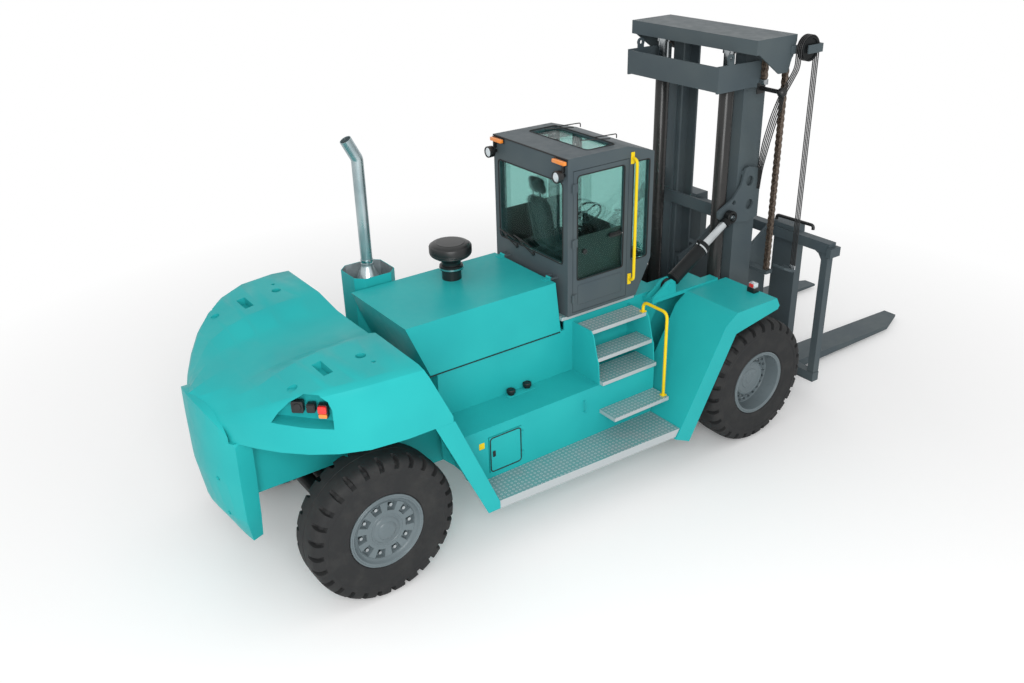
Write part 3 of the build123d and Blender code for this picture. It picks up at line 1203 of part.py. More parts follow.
# Forks: hook over the top beam, shank, heel and a blade that narrows on its outer side
fork_shoulder_x = front_axle_x + 3620
for side, sign in sides.items():
    inner = fork_inner_right_y if side == "right" else fork_inner_left_y
    with BuildPart() as fork:
        y_low, y_high = across(sign, inner, (inner + fork_width))
        wall([
            (fork_rear_x, fork_low_z + 60), (fork_rear_x, carriage_top_z + 60), (fork_front_x - 10, carriage_top_z + 60),
            (fork_front_x, carriage_top_z - 100), (fork_front_x, fork_low_z + 180),
            (fork_front_x + 40, fork_low_z + fork_thickness), (fork_tip_x, fork_low_z + 35),
            (fork_tip_x, fork_low_z), (fork_rear_x + 60, fork_low_z),
        ], y_low, y_high)
        bar((carriage_rear_x + 20, y_low, carriage_top_z + 0.8), (fork_rear_x + 10, y_high, carriage_top_z + 60))
        plate(Plane.XY.offset(fork_low_z - 1), [
            (fork_shoulder_x, sign * (inner + fork_width)), (fork_shoulder_x, sign * (inner + fork_width + 50)),
            (fork_tip_x + 50, sign * (inner + fork_width + 50)), (fork_tip_x + 50, sign * (inner + 170)),
            (fork_tip_x, sign * (inner + 190)),
        ], 200, Mode.SUBTRACT)
    save(fork.part, f"fork_{side}")

# Tilt cylinders: barrel pinned to the frame, rod pinned to the mast plate
tilt_axis = Vector(tilt_high_x - tilt_low_x, 0, tilt_high_z - tilt_low_z)
tilt_length = tilt_axis.length
tilt_unit = tilt_axis.normalized()
for side, sign in sides.items():
    low = Vector(tilt_low_x, sign * tilt_y, tilt_low_z)
    with BuildPart() as tilt_barrel:
        start = low + tilt_unit * 95
        end = low + tilt_unit * tilt_barrel_length
        rod(tuple(start), tuple(end), tilt_barrel_radius)
        eye_low, eye_high = across(sign, (tilt_y - 27), (tilt_y + 27))
        rod((tilt_low_x, eye_low, tilt_low_z), (tilt_low_x, eye_high, tilt_low_z), 78)
        neck = low + tilt_unit * 60
        rod(tuple(neck), tuple(low + tilt_unit * 120), 27)
        bore = tilt_pin_radius + seat_gap
        pin((tilt_low_x, eye_low - 1, tilt_low_z), (tilt_low_x, eye_high + 1, tilt_low_z), bore, Mode.SUBTRACT)
        mouth = tuple(low + tilt_unit * (tilt_barrel_length + 5))
        rod(tuple(low + tilt_unit * 125), mouth, tilt_rod_radius + rod_clearance, Mode.SUBTRACT)
    save(tilt_barrel.part, f"tilt_barrel_{side}")
    with BuildPart() as tilt_rod:
        high = Vector(tilt_high_x, sign * tilt_y, tilt_high_z)
        tail = high - tilt_unit * (tilt_length - 420)
        rod(tuple(tail), tuple(high - tilt_unit * (tilt_eye_radius - 15)), tilt_rod_radius)
        eye_low, eye_high = across(sign, (tilt_y - 38), (tilt_y + 38))
        rod((tilt_high_x, eye_low, tilt_high_z), (tilt_high_x, eye_high, tilt_high_z), tilt_eye_radius)
        bore = tilt_high_pin_radius + tilt_eye_play
        rod((tilt_high_x, eye_low - 1, tilt_high_z), (tilt_high_x, eye_high + 1, tilt_high_z), bore, Mode.SUBTRACT)
    save(tilt_rod.part, f"tilt_rod_{side}")

# Handrails: one beside the steps and one on the cab's front post, on each side
rail_radius = 18
corner_half = 14
step_rail_x = step_front_x - 30
step_rail_y = 1240
step_rail_top_z = 1880
step_rail_end_y = 870
cab_rail_x = front_axle_x - 1255
cab_rail_y = 715
cab_rail_low_z = 2080
cab_rail_high_z = 3420
with BuildPart() as handrails:
    for sign in sides.values():
        outside = sign * step_rail_y
        end = sign * step_rail_end_y
        rod((step_rail_x, outside, treads[0][0] + seat_gap), (step_rail_x, outside, step_rail_top_z), rail_radius)
        rod((step_rail_x, outside, step_rail_top_z), (step_rail_x, end, step_rail_top_z), rail_radius)
        rod((step_rail_x, end, step_rail_top_z), (step_rail_x, end, treads[3][0] + seat_gap), rail_radius)
        for corner_y in (outside, end):
            bar((step_rail_x - corner_half, corner_y - corner_half, step_rail_top_z - corner_half),
                (step_rail_x + corner_half, corner_y + corner_half, step_rail_top_z + corner_half))
        rail_y = sign * cab_rail_y
        rod((cab_rail_x, rail_y, cab_rail_low_z), (cab_rail_x, rail_y, cab_rail_high_z), rail_radius)
        for z in (cab_rail_low_z, cab_rail_high_z):
            rod((cab_rail_x, rail_y, z), (cab_rail_x, sign * (cab_y + seat_gap), z), rail_radius)
            bar((cab_rail_x - corner_half, rail_y - corner_half, z - corner_half),
                (cab_rail_x + corner_half, rail_y + corner_half, z + corner_half))
save(handrails.part, "handrails")
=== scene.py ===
"""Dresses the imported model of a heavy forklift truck: finishes, trim, treads, cab fittings and stage."""
import json
import math
import bmesh
import bpy
import numpy as np
from mathutils import Matrix, Vector


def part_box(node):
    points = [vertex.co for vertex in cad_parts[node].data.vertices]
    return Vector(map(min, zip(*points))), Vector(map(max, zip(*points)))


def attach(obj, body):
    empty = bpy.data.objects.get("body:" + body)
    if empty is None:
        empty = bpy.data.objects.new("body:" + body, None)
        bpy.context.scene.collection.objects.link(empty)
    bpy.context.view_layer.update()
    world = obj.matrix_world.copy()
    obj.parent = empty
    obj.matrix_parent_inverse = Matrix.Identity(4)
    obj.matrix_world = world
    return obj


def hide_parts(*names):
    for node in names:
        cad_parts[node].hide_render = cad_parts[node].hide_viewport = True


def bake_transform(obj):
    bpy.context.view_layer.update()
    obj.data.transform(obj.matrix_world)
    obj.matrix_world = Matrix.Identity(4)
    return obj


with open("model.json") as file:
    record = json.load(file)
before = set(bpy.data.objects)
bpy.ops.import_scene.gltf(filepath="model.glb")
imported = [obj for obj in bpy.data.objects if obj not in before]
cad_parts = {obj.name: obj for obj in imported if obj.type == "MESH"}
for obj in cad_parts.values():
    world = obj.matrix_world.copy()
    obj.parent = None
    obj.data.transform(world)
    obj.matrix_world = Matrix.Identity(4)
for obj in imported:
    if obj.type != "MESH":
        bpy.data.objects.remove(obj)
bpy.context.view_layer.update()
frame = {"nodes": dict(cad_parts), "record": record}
nodes = frame["nodes"]

bl_info = {
    "name": "Heavy Forklift Dressing",
    "version": (1, 0, 0),
    "blender": (4, 5, 0),
    "location": "3D View > Sidebar > Forklift",
    "description": "Adds finishes, treads, trim and a studio stage to the packed forklift model",
    "category": "Object",
}

SIDES = {"right": -1, "left": 1}
X, Y, Z = np.eye(3)

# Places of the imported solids, in millimetres
WHEEL_Z = 740.0
FRONT_X, REAR_X = 940.0, -3810.0
FRONT_DUALS_Y = (817.0, 1302.0)
REAR_WHEEL_Y = 1144.0
TILT_LOW = np.array((209.0, 0.0, 1880.0))
TILT_HIGH = np.array((1155.0, 0.0, 2470.0))
TILT_Y = 700.0
LIFT_X, LIFT_Y = 1158.0, 505.0
SHEAVE_X, SHEAVE_Z, CHAIN_Y, CHAIN_RADIUS = 1625.0, 4250.0, 756.0, 170.3
HOSE_X, HOSE_Y, HOSE_Z, HOSE_RADIUS, HOSE_GAP = 1800.0, -1022.0, 4305.0, 142.3, 21.0
TANK_SIDE_Y, HATCH_FACE_Y = 1047.0, 1059.3
CAB_SIDE_Y, CAB_REAR_X, CAB_FLOOR_Z = 641.0, -1160.3, 1905.6

# Finishes whose slot bears another name; every other finish takes the slot of its own name
SLOTS = {
    "rim_paint": "grey_paint", "cylinder_paint": "black_paint", "stack_steel": "bright_steel",
    "plain_aluminium": "turquoise_paint", "seal_rubber": "hose_rubber", "door_shade_panel": "black_plastic",
    "silver_lens": "black_plastic", "red_lens": "black_plastic", "orange_lens": "black_plastic",
}


def grid_faces(rows, columns, wrap_rows=False):
    """Quads between neighbours of a grid of points: every row is a loop, the rows are one where asked."""
    i, j = np.meshgrid(np.arange(rows - (not wrap_rows)), np.arange(columns), indexing="ij")
    up, along = (i + 1) % rows, (j + 1) % columns
    quads = np.stack([i * columns + j, i * columns + along, up * columns + along, up * columns + j], -1)
    return quads.reshape(-1, 4).tolist()


def join(*shapes):
    """Several shapes as one: points one after another, faces counted on."""
    starts = np.cumsum([0] + [len(points) for points, faces in shapes])
    joined = []
    for (points, faces), start in zip(shapes, starts):
        joined += [[int(corner + start) for corner in face] for face in faces]
    return np.concatenate([points for points, faces in shapes]), joined


def sweep(centres, tangents, radii, across, sides=24, wrap=False):
    """Circles along a line: centre + radius (cos a across + sin a tangent x across), a running once round."""
    centres, tangents = np.atleast_2d(centres), np.atleast_2d(tangents)
    tangents = tangents / np.linalg.norm(tangents, axis=1)[:, None]
    across = np.asarray(across, float) / np.linalg.norm(across)
    third = np.cross(tangents, across)
    angle = np.linspace(0, 2 * np.pi, sides, endpoint=False)
    turned = np.cos(angle)[None, :, None] * across + np.sin(angle)[None, :, None] * third[:, None, :]
    points = centres[:, None, :] + np.asarray(radii, float)[:, None, None] * turned
    return points.reshape(-1, 3), grid_faces(len(centres), sides, wrap_rows=wrap)


def lathe(profile, centre, axis, sides=48):
    """Profile of (distance along the axis, radius) turned about the axis."""
    profile, axis = np.array(profile, float), np.array(axis, float) / np.linalg.norm(axis)
    across = Y if abs(axis[1]) < 0.9 else X
    across = across - axis * (across @ axis)
    centres = np.array(centre) + profile[:, :1] * axis
    return sweep(centres, np.tile(axis, (len(profile), 1)), profile[:, 1], across, sides)


def tube(path, radius, across, sides=12, closed=False):
    """Round bar along a path in one plane, whose normal is across, with flat ends unless it is closed."""
    path = np.array(path, float)
    tangents = np.roll(path, -1, 0) - np.roll(path, 1, 0) if closed else np.gradient(path, axis=0)
    if closed:
        return sweep(path, tangents, np.full(len(path), float(radius)), across, sides, wrap=True)
    pick = np.r_[0, np.arange(len(path)), len(path) - 1]
    radii = np.r_[0.0, np.full(len(path), float(radius)), 0.0]
    return sweep(path[pick], tangents[pick], radii, across, sides)


def bent(points, bend, steps=7):
    """Path through corner points, each corner a quadratic curve that starts and ends a bend's length away."""
    points = np.array(points, float)
    share = np.linspace(0, 1, steps)[:, None]
    path = [points[:1]]
    for before, corner, after in zip(points, points[1:], points[2:]):
        enter = corner + (before - corner) / np.linalg.norm(before - corner) * bend
        leave = corner + (after - corner) / np.linalg.norm(after - corner) * bend
        path.append((1 - share) ** 2 * enter + 2 * share * (1 - share) * corner + share ** 2 * leave)
    return np.concatenate(path + [points[-1:]])


def rounded(half_u, half_v, radius, steps=5):
    """Outline of a rectangle with rounded corners, counter-clockwise."""
    angle = np.linspace(0, np.pi / 2, steps)
    arcs = []
    for number, (u, v) in enumerate(((1, 1), (-1, 1), (-1, -1), (1, -1))):
        middle = np.array([u * (half_u - radius), v * (half_v - radius)])
        turned = angle + number * np.pi / 2
        arcs.append(middle + radius * np.stack([np.cos(turned), np.sin(turned)], 1))
    return np.concatenate(arcs)


def prism(outline, origin, u, v, depth):
    """Outline in the plane of u and v, carried along u x v by a depth, with a face on each end."""
    outline, u, v = np.array(outline, float), np.array(u, float), np.array(v, float)
    area = np.sum(outline[:, 0] * np.roll(outline[:, 1], -1) - outline[:, 1] * np.roll(outline[:, 0], -1))
    if area * depth < 0:
        outline = outline[::-1]
    low = np.array(origin, float) + outline[:, :1] * u + outline[:, 1:] * v
    count = len(low)
    points = np.concatenate([low, low + np.cross(u, v) * depth])
    sides = grid_faces(2, count)
    return points, sides + [list(range(count))[::-1], list(range(count, 2 * count))]


def slab(low, high):
    """Block between two corners, for a bevel to round."""
    low, high = np.minimum(low, high), np.maximum(low, high)
    corners = [(low[0], low[1]), (high[0], low[1]), (high[0], high[1]), (low[0], high[1])]
    return prism(corners, (0, 0, low[2]), X, Y, high[2] - low[2])


def patterned_ring(centre, sign, table, count, offsets, gates, phase=0.0, closed=False):
    """Ring about an axle with a cut repeated round it. Rows of the table are distance outward, radius, how
    far the cut goes inward and down, and the cut's width; a row of two has no cut. A point sits at its row's
    place less the cut times its column's gate."""
    table = np.array([row + (0, 0, 1)[len(row) - 2:] for row in table], float)
    offsets, gates = np.array(offsets, float), np.array(gates, float)
    if sign < 0:
        table = table[::-1]
    # Columns within a few cut widths narrow with the cut; those further off keep their places
    near = np.abs(offsets) < 2.6 * np.abs(offsets[gates > 0]).max()
    width = np.where(near[None, :], table[:, 4:5], 1.0)
    turns = phase + np.arange(count) * 360.0 / count
    columns = turns[None, :, None] + (offsets[None, :] * width)[:, None, :]
    angle = np.radians(columns.reshape(len(table), -1))
    gate = np.tile(gates, count)[None, :]
    out = sign * (table[:, :1] - table[:, 2:3] * gate * np.sign(table[:, :1]))
    radius = table[:, 1:2] - table[:, 3:4] * gate
    points = np.array(centre) + np.stack([radius * np.cos(angle), out, -radius * np.sin(angle)], -1)
    return points.reshape(-1, 3), grid_faces(len(table), angle.shape[1], wrap_rows=closed)


def nuts(places, axis, radius, height, sides=6):
    """Hexagon nuts with a chamfered face, one at each place."""
    profile = [(0, radius), (height * 0.75, radius), (height, radius * 0.82), (height, 0)]
    return join(*[lathe(profile, place, axis, sides) for place in places])


def circle_of(centre, radius, count, y, phase=0.0):
    """Places evenly round an axle, at a given y."""
    angle = np.linspace(0, 2 * np.pi, count, endpoint=False) + phase
    ring = np.stack([np.cos(angle) * radius, np.zeros(count), np.sin(angle) * radius], 1)
    return np.array((centre[0], y, centre[2])) + ring


def arc_over(x, y, z, radius, turn):
    """Path over a sheave at the given radius, which is one number or one for each angle."""
    return np.stack([x + radius * np.cos(turn), np.full(len(turn), y), z + radius * np.sin(turn)], 1)


def span(one, other, x, y, low, high):
    """Two bodies and the two points, turned into metres, which a piece takes as its body; nothing bends it
    between them.
    """
    return one, other, (x / 1000, y / 1000, low / 1000), (x / 1000, y / 1000, high / 1000)


def linear(text):
    """Linear RGBA from an sRGB hex colour."""
    values = [int(text[i:i + 2], 16) / 255 for i in (1, 3, 5)]
    return [v / 12.92 if v <= 0.04045 else ((v + 0.055) / 1.055) ** 2.4 for v in values] + [1.0]


def add_node(tree, kind, inputs=None, **settings):
    """Adds a shader node: settings are its properties, inputs are values or output sockets by input name."""
    node = tree.nodes.new(kind)
    for name, value in settings.items():
        setattr(node, name, value)
    for name, value in (inputs or {}).items():
        if isinstance(value, bpy.types.NodeSocket):
            tree.links.new(value, node.inputs[name])
        else:
            node.inputs[name].default_value = value
    return node


def start_material(name):
    """New material with its output, its surface shader and the object coordinates."""
    material = bpy.data.materials.new(name)
    material.use_nodes = True
    tree = material.node_tree
    tree.nodes.clear()
    output = add_node(tree, "ShaderNodeOutputMaterial")
    shader = add_node(tree, "ShaderNodeBsdfPrincipled")
    tree.links.new(shader.outputs[0], output.inputs[0])
    place = add_node(tree, "ShaderNodeTexCoord").outputs["Object"]
    return material, tree, shader, place


def set_inputs(tree, shader, **values):
    """Sets shader sockets by name, with _ for a space; a socket as value is linked."""
    for name, value in values.items():
        socket = shader.inputs[name.replace("_", " ")]
        if isinstance(value, bpy.types.NodeSocket):
            tree.links.new(value, socket)
        else:
            socket.default_value = value


def noise(tree, place, millimetres, detail=3.0, rough=0.5):
    """Noise whose lumps are about the given size in millimetres."""
    values = {"Vector": place, "Scale": 1000.0 / millimetres, "Detail": detail, "Roughness": rough}
    return add_node(tree, "ShaderNodeTexNoise", values).outputs["Fac"]


def ramp(tree, value, low, high, out_low=0.0, out_high=1.0):
    """Maps a value from one range to another, held at the ends."""
    values = {"Value": value, "From Min": low, "From Max": high, "To Min": out_low, "To Max": out_high}
    return add_node(tree, "ShaderNodeMapRange", values).outputs["Result"]


def mix(tree, factor, first, second):
    """Mixes two colours."""
    node = add_node(tree, "ShaderNodeMix", {"Factor": factor}, data_type="RGBA")
    for index, value in ((6, first), (7, second)):
        if isinstance(value, bpy.types.NodeSocket):
            tree.links.new(value, node.inputs[index])
        else:
            node.inputs[index].default_value = value
    return node.outputs[2]


def bump(tree, height, millimetres, strength=1.0):
    """Normal from a height field that rises the given number of millimetres."""
    values = {"Height": height, "Distance": millimetres / 1000.0, "Strength": strength}
    return add_node(tree, "ShaderNodeBump", values).outputs["Normal"]


def cells(tree, place, millimetres, randomness=1.0, **settings):
    """Distance from the middles of cells of about the given size in millimetres."""
    values = {"Vector": place, "Scale": 1000.0 / millimetres, "Randomness": randomness}
    return add_node(tree, "ShaderNodeTexVoronoi", values, **settings).outputs["Distance"]


def combine(tree, operation, first, second):
    """One arithmetic operation on two values."""
    return add_node(tree, "ShaderNodeMath", {0: first, 1: second}, operation=operation).outputs[0]


def sprayed_paint(name, colour, shade, roughness, coat):
    """Sprayed machine paint: even colour, cloudy fading, fine orange peel and, where asked, a clear coat."""
    material, tree, shader, place = start_material(name)
    cloud = ramp(tree, noise(tree, place, 600, 2.0), 0.3, 0.75)
    peel = noise(tree, place, 9, 1.0)
    set_inputs(
        tree, shader, Base_Color=mix(tree, cloud, linear(colour), linear(shade)),
        Roughness=ramp(tree, noise(tree, place, 90, 4.0), 0.3, 0.8, roughness - 0.05, roughness + 0.08),
        Coat_Weight=coat, Coat_Roughness=0.2, Specular_IOR_Level=0.1, Normal=bump(tree, peel, 0.1, 0.08),
    )
    return material


def worn_metal(name, colour, shade, metallic, roughness, grain):
    """Bare or thinly coated metal: two close tones in patches of the given grain and uneven polish."""
    material, tree, shader, place = start_material(name)
    patch = ramp(tree, noise(tree, place, grain, 1.0, 0.5), 0.35, 0.7)
    colours = mix(tree, patch, linear(colour), linear(shade))
    polish = ramp(tree, noise(tree, place, grain / 2, 0.0), 0.3, 0.75, roughness - 0.03, roughness + 0.05)
    set_inputs(tree, shader, Base_Color=colours, Metallic=metallic, Roughness=polish)
    return material


def moulded_rubber(name, colour, dust):
    """Tyre rubber: near black, matt, with a grey bloom of dust in soft patches and a fine moulded grain."""
    material, tree, shader, place = start_material(name)
    patch = ramp(tree, noise(tree, place, 160, 5.0, 0.6), 0.45, 0.85)
    set_inputs(
        tree, shader, Base_Color=mix(tree, patch, linear(colour), linear(dust)), Roughness=0.72,
        Specular_IOR_Level=0.3, Normal=bump(tree, noise(tree, place, 12, 3.0), 0.3, 0.15),
    )
    return material


def moulded_plastic(name, colour, roughness):
    """Moulded plastic with a fine leather-like grain."""
    material, tree, shader, place = start_material(name)
    grain = bump(tree, cells(tree, place, 3.0), 0.1, 0.06)
    set_inputs(tree, shader, Base_Color=linear(colour), Roughness=roughness, Normal=grain)
    return material


def tinted_glass(name, colour):
    """Flat toughened glass with a body tint, thin enough to bend light very little."""
    material, tree, shader, _ = start_material(name)
    set_inputs(
        tree, shader, Base_Color=linear(colour), Roughness=0.02, Transmission_Weight=1.0, IOR=1.1, Alpha=0.7)
    return material


def woven_cloth(name, colour, shade):
    """Coarse seat cloth: two sets of threads that cross at right angles, drawn as waves."""
    material, tree, shader, place = start_material(name)
    waves = []
    for degrees in (45, -45):
        values = {"Vector": place, "Rotation": (0, 0, math.radians(degrees))}
        turned = add_node(tree, "ShaderNodeMapping", values).outputs[0]
        waves.append(add_node(tree, "ShaderNodeTexWave", {"Vector": turned, "Scale": 80.0}).outputs["Fac"])
    weave = combine(tree, "MAXIMUM", *waves)
    set_inputs(
        tree, shader, Base_Color=mix(tree, weave, linear(shade), linear(colour)), Roughness=0.9,
        Sheen_Weight=0.3, Normal=bump(tree, weave, 0.6, 0.7),
    )
    return material


def tread_plate(name, colour, painted_reflection, dark):
    """Aluminium step plate: raised round punchings 48 mm apart on the tread, plain on the folded edges. On
    the top, a painted teal reflection, painted highlights on the punchings' rims and painted shade in their
    holes.
    """
    material, tree, shader, place = start_material(name)
    punched = cells(tree, place, 48.0, 0.0, voronoi_dimensions="2D")
    facing = add_node(tree, "ShaderNodeTexCoord").outputs["Normal"]
    up = add_node(tree, "ShaderNodeSeparateXYZ", {"Vector": facing}).outputs["Z"]
    top = ramp(tree, up, 0.6, 0.8)
    # Light rims round the punchings are painted highlight and their dark middles painted shade in the holes;
    # the rims also rise in the bump
    crest = ramp(tree, punched, 0.2, 0.3, 1.0, 0.0)
    hole = ramp(tree, punched, 0.08, 0.12, 1.0, 0.0)
    cloud = ramp(tree, noise(tree, place, 200, 4.0), 0.35, 0.7)
    # The top's teal tone is a painted reflection, which the plain folded edges lack
    sheet = mix(tree, cloud, linear(painted_reflection), linear("#86A0A3"))
    dots = mix(tree, hole, mix(tree, crest, sheet, linear("#C9D0D2")), linear(dark))
    set_inputs(
        tree, shader, Base_Color=mix(tree, top, linear(colour), dots), Metallic=0.2, Roughness=0.4,
        Normal=bump(tree, crest, 1.0, 0.3),
    )
    return material


def lamp_lens(name, colour, metallic):
    """Lamp glass or plastic with moulded studs 9 mm apart under a clear gloss."""
    material, tree, shader, place = start_material(name)
    studs = cells(tree, place, 9.0, 0.0)
    set_inputs(
        tree, shader, Base_Color=linear(colour), Metallic=metallic, Roughness=0.16, Coat_Weight=0.6,
        Normal=bump(tree, studs, 1.2, 0.5),
    )
    return material


class ForkliftSettings(bpy.types.PropertyGroup):
    """Sizes and colours a user would change."""
    body_colour: bpy.props.StringProperty(
        name="Body paint", description="Main paint as an sRGB hex colour", default="#2BB0B0")
    grey_colour: bpy.props.StringProperty(
        name="Grey paint", description="Mast and cab paint as an sRGB hex colour", default="#535D60")
    edge_round: bpy.props.FloatProperty(
        name="Edge rounding", description="Radius on folded and welded edges", default=0.005, unit="LENGTH")
    lens: bpy.props.FloatProperty(
        name="Lens", description="Focal length on a 36 mm sensor", default=34.66, subtype="DISTANCE_CAMERA")
    key_power: bpy.props.FloatProperty(
        name="Key light", description="Power of the large side light", default=1100.0, unit="POWER")


FINISHES = {}


def shading_group():
    """Modifier group that shades a mesh smooth and keeps edges sharper than 32 degrees crisp."""
    if "Smooth Below Angle" in bpy.data.node_groups:
        return bpy.data.node_groups["Smooth Below Angle"]
    tree = bpy.data.node_groups.new("Smooth Below Angle", "GeometryNodeTree")
    tree.interface.new_socket("Geometry", in_out="INPUT", socket_type="NodeSocketGeometry")
    tree.interface.new_socket("Geometry", in_out="OUTPUT", socket_type="NodeSocketGeometry")
    start = add_node(tree, "NodeGroupInput").outputs[0]
    angle = add_node(tree, "GeometryNodeInputMeshEdgeAngle").outputs["Unsigned Angle"]
    values = {0: angle, 1: math.radians(32)}
    soft = add_node(tree, "FunctionNodeCompare", values, operation="LESS_THAN").outputs[0]
    shape = start
    for smooth, domain in ((True, "FACE"), (soft, "EDGE")):
        values = {"Geometry": shape, "Shade Smooth": smooth}
        shape = add_node(tree, "GeometryNodeSetShadeSmooth", values, domain=domain).outputs[0]
    tree.links.new(shape, add_node(tree, "NodeGroupOutput").inputs[0])
    return tree


def finish_edges(item, width, weld=False):
    """Bevels an object's sharp edges in metres and shades it smooth below the angle of a real fold."""
    if weld:
        item.modifiers.new("Weld", "WELD").merge_threshold = 1e-5
        flat = item.modifiers.new("Flats", "DECIMATE")
        flat.decimate_type = "DISSOLVE"
        flat.angle_limit = math.radians(0.05)
    if width > 0:
        bevel = item.modifiers.new("Bevel", "BEVEL")
        bevel.width = width
        bevel.segments = 2
        bevel.limit_method = "ANGLE"
        bevel.angle_limit = math.radians(33)
    item.modifiers.new("Shading", "NODES").node_group = shading_group()
    if weld and width > 0:
        weighted = item.modifiers.new("Flat Faces", "WEIGHTED_NORMAL")
        weighted.mode = "FACE_AREA_WITH_ANGLE"
        weighted.keep_sharp = True


def piece(name, shape, finish, body, replaces=(), bevel=0.0, slot=None):
    """Puts a shape in millimetres into a mesh, closes its poles and binds it to its finish and body; the slot
    is not used.
    A body given as (one, other, start, end) leaves the piece unbent and tied to no body."""
    slot = slot or SLOTS.get(finish, finish)
    points, faces = shape
    mesh = bpy.data.meshes.new(name)
    mesh.from_pydata((points / 1000.0).tolist(), [], faces)
    work = bmesh.new()
    work.from_mesh(mesh)
    bmesh.ops.remove_doubles(work, verts=work.verts, dist=1e-6)
    work.to_mesh(mesh)
    work.free()
    mesh.materials.append(FINISHES[finish])
    item = bpy.data.objects.new(name, mesh)
    bpy.context.scene.collection.objects.link(item)
    finish_edges(item, bevel / 1000.0)
    if isinstance(body, tuple):
        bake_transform(item)
    else:
        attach(item, body)
    if replaces:
        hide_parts(*replaces)
    return item


class FORKLIFT_OT_finishes(bpy.types.Operator):
    """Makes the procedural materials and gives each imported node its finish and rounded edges"""
    bl_idname = "forklift.finishes"
    bl_label = "Finishes"

    def execute(self, context):
        settings = context.scene.forklift
        FINISHES.update({
            "tyre_rubber": moulded_rubber("Moulded Tyre Rubber", "#252627", "#343433"),
            "grey_paint": sprayed_paint(
                "Satin Grey Machine Paint", settings.grey_colour, "#49545A", 0.40, 0.0),
            "rim_paint": sprayed_paint("Silver Grey Rim Enamel", "#6E797D", "#5E696D", 0.3, 0.2),
            "black_paint": sprayed_paint("Black Chassis Paint", "#17191A", "#1F2223", 0.38, 0.1),
            "cylinder_paint": sprayed_paint("Dark Cylinder Enamel", "#2A2B2B", "#353433", 0.25, 0.4),
            "turquoise_paint": sprayed_paint(
                "Turquoise Machine Paint", settings.body_colour, "#27A7A9", 0.36, 0.0),
            # 6FA3A4 is a painted teal reflection on the tread's top and #4F5A5D painted shade in its punched
            # holes
            "tread_aluminium": tread_plate("Punched Aluminium Tread", "#B4BBBD", "#6FA3A4", "#4F5A5D"),
            "plain_aluminium": worn_metal("Mill Finish Aluminium", "#A9B1B4", "#949C9F", 0.6, 0.42, 80),
            "bright_steel": worn_metal("Polished Chromed Steel", "#C4C9CB", "#A9AEB1", 1.0, 0.2, 200),
            "stack_steel": worn_metal("Brushed Stainless Exhaust Pipe", "#B9C6C9", "#9FB0B4", 0.85, 0.3, 240),
            "chain_steel": worn_metal("Oiled Chain Steel", "#7A6C60", "#463B33", 0.6, 0.45, 24),
            "black_plastic": moulded_plastic("Black Moulded Plastic", "#17191A", 0.38),
            "hose_rubber": moulded_plastic("Smooth Hydraulic Hose Rubber", "#1B1C1D", 0.45),
            # Dark sheet behind the doors' lower glass: painted shade standing for the dim inside of the cab
            "door_shade_panel": moulded_plastic("Painted Shade Behind Door Glass", "#363634", 0.3),
            "seal_rubber": moulded_plastic("Window Seal Rubber", "#141617", 0.6),
            "seat_cloth": woven_cloth("Woven Cushion Cloth", "#2A2D2F", "#191B1C"),
            "window_glass": tinted_glass("Green Tinted Glass", "#A9DED7"),
            "yellow_paint": sprayed_paint("Yellow Rail Paint", "#F0D02A", "#E4C41E", 0.35, 0.0),
            "silver_lens": lamp_lens("Clear Work Lamp Lens", "#D9E0E4", 0.35),
            "red_lens": lamp_lens("Red Tail Lamp Lens", "#D8221E", 0.0),
            "orange_lens": lamp_lens("Amber Lamp Lens", "#F08A2A", 0.0),
        })
        sharp = {"engine", "cab_glass", "door_glass_right", "door_glass_left", "counterweight"}
        for part in frame["record"]["subparts"]:
            item = nodes[part["node"]]
            item.data.materials.clear()
            item.data.materials.append(FINISHES[part["material_slot"]])
            finish_edges(item, 0.0 if part["node"] in sharp else settings.edge_round, weld=True)
        return {"FINISHED"}


# Outer half of a tyre's section, from the bead to the middle of the tread
HALF_TREAD = [
    (194, 354), (194, 380), (204, 386), (210, 396), (211.5, 412), (209.5, 420), (213, 446), (215.5, 482),
    (215.8, 530), (214.6, 585), (213, 600), (215.8, 606), (215.8, 614), (213.6, 622), (213.4, 641),
    (213.2, 650, 22, 2, 1), (212.6, 660, 42, 4, 1), (210, 677, 42, 12, 1), (203, 694, 38, 24, 1),
    (190, 712, 28, 36, 1), (172, 724, 16, 42, 0.95), (150, 732, 6, 44, 0.85), (126, 736, 2, 42, 0.75),
    (109, 738, 0, 38, 0.6), (100, 738.6, 0, 16, 0.5), (93, 739, 0, 0, 0.5), (48, 740), (7, 740), (5, 736.5),
]
LUG_COUNT = 28
LUG_OFFSETS = (-6.2, -4.4, -2.7, -2.15, -1.75, 0, 1.75, 2.15, 2.7, 4.4)
LUG_GATES = (0, 0, 0, 0, 1, 1, 1, 0, 0, 0)
# Section of the rear rim from its inner edge to the hub, with the pockets' depth
REAR_RIM = [
    (-198, 340), (-210, 346), (-210, 375), (-196, 377), (-193, 351), (193, 351), (196, 377), (206, 377.5),
    (210, 373), (210, 364), (205, 360), (204, 356), (208, 352), (208, 344), (200, 338), (186, 333),
    (176, 326), (166, 318), (162, 308), (166, 300), (176, 296), (178, 293), (178, 290, 44, 0, 1),
    (178, 206, 44, 0, 1), (178, 203), (178, 172), (182, 166), (182, 158), (177, 152), (177, 138),
    (184, 132), (191, 120), (194, 96), (203, 88), (213, 66), (214, 58), (214, 0),
]
POCKET_COUNT = 10
POCKET_OFFSETS = (-18, -14.5, -11.4, -10.4, -9.2, 0, 9.2, 10.4, 11.4, 14.5)
POCKET_GATES = (0, 0, 0, 0, 1, 1, 1, 0, 0, 0)
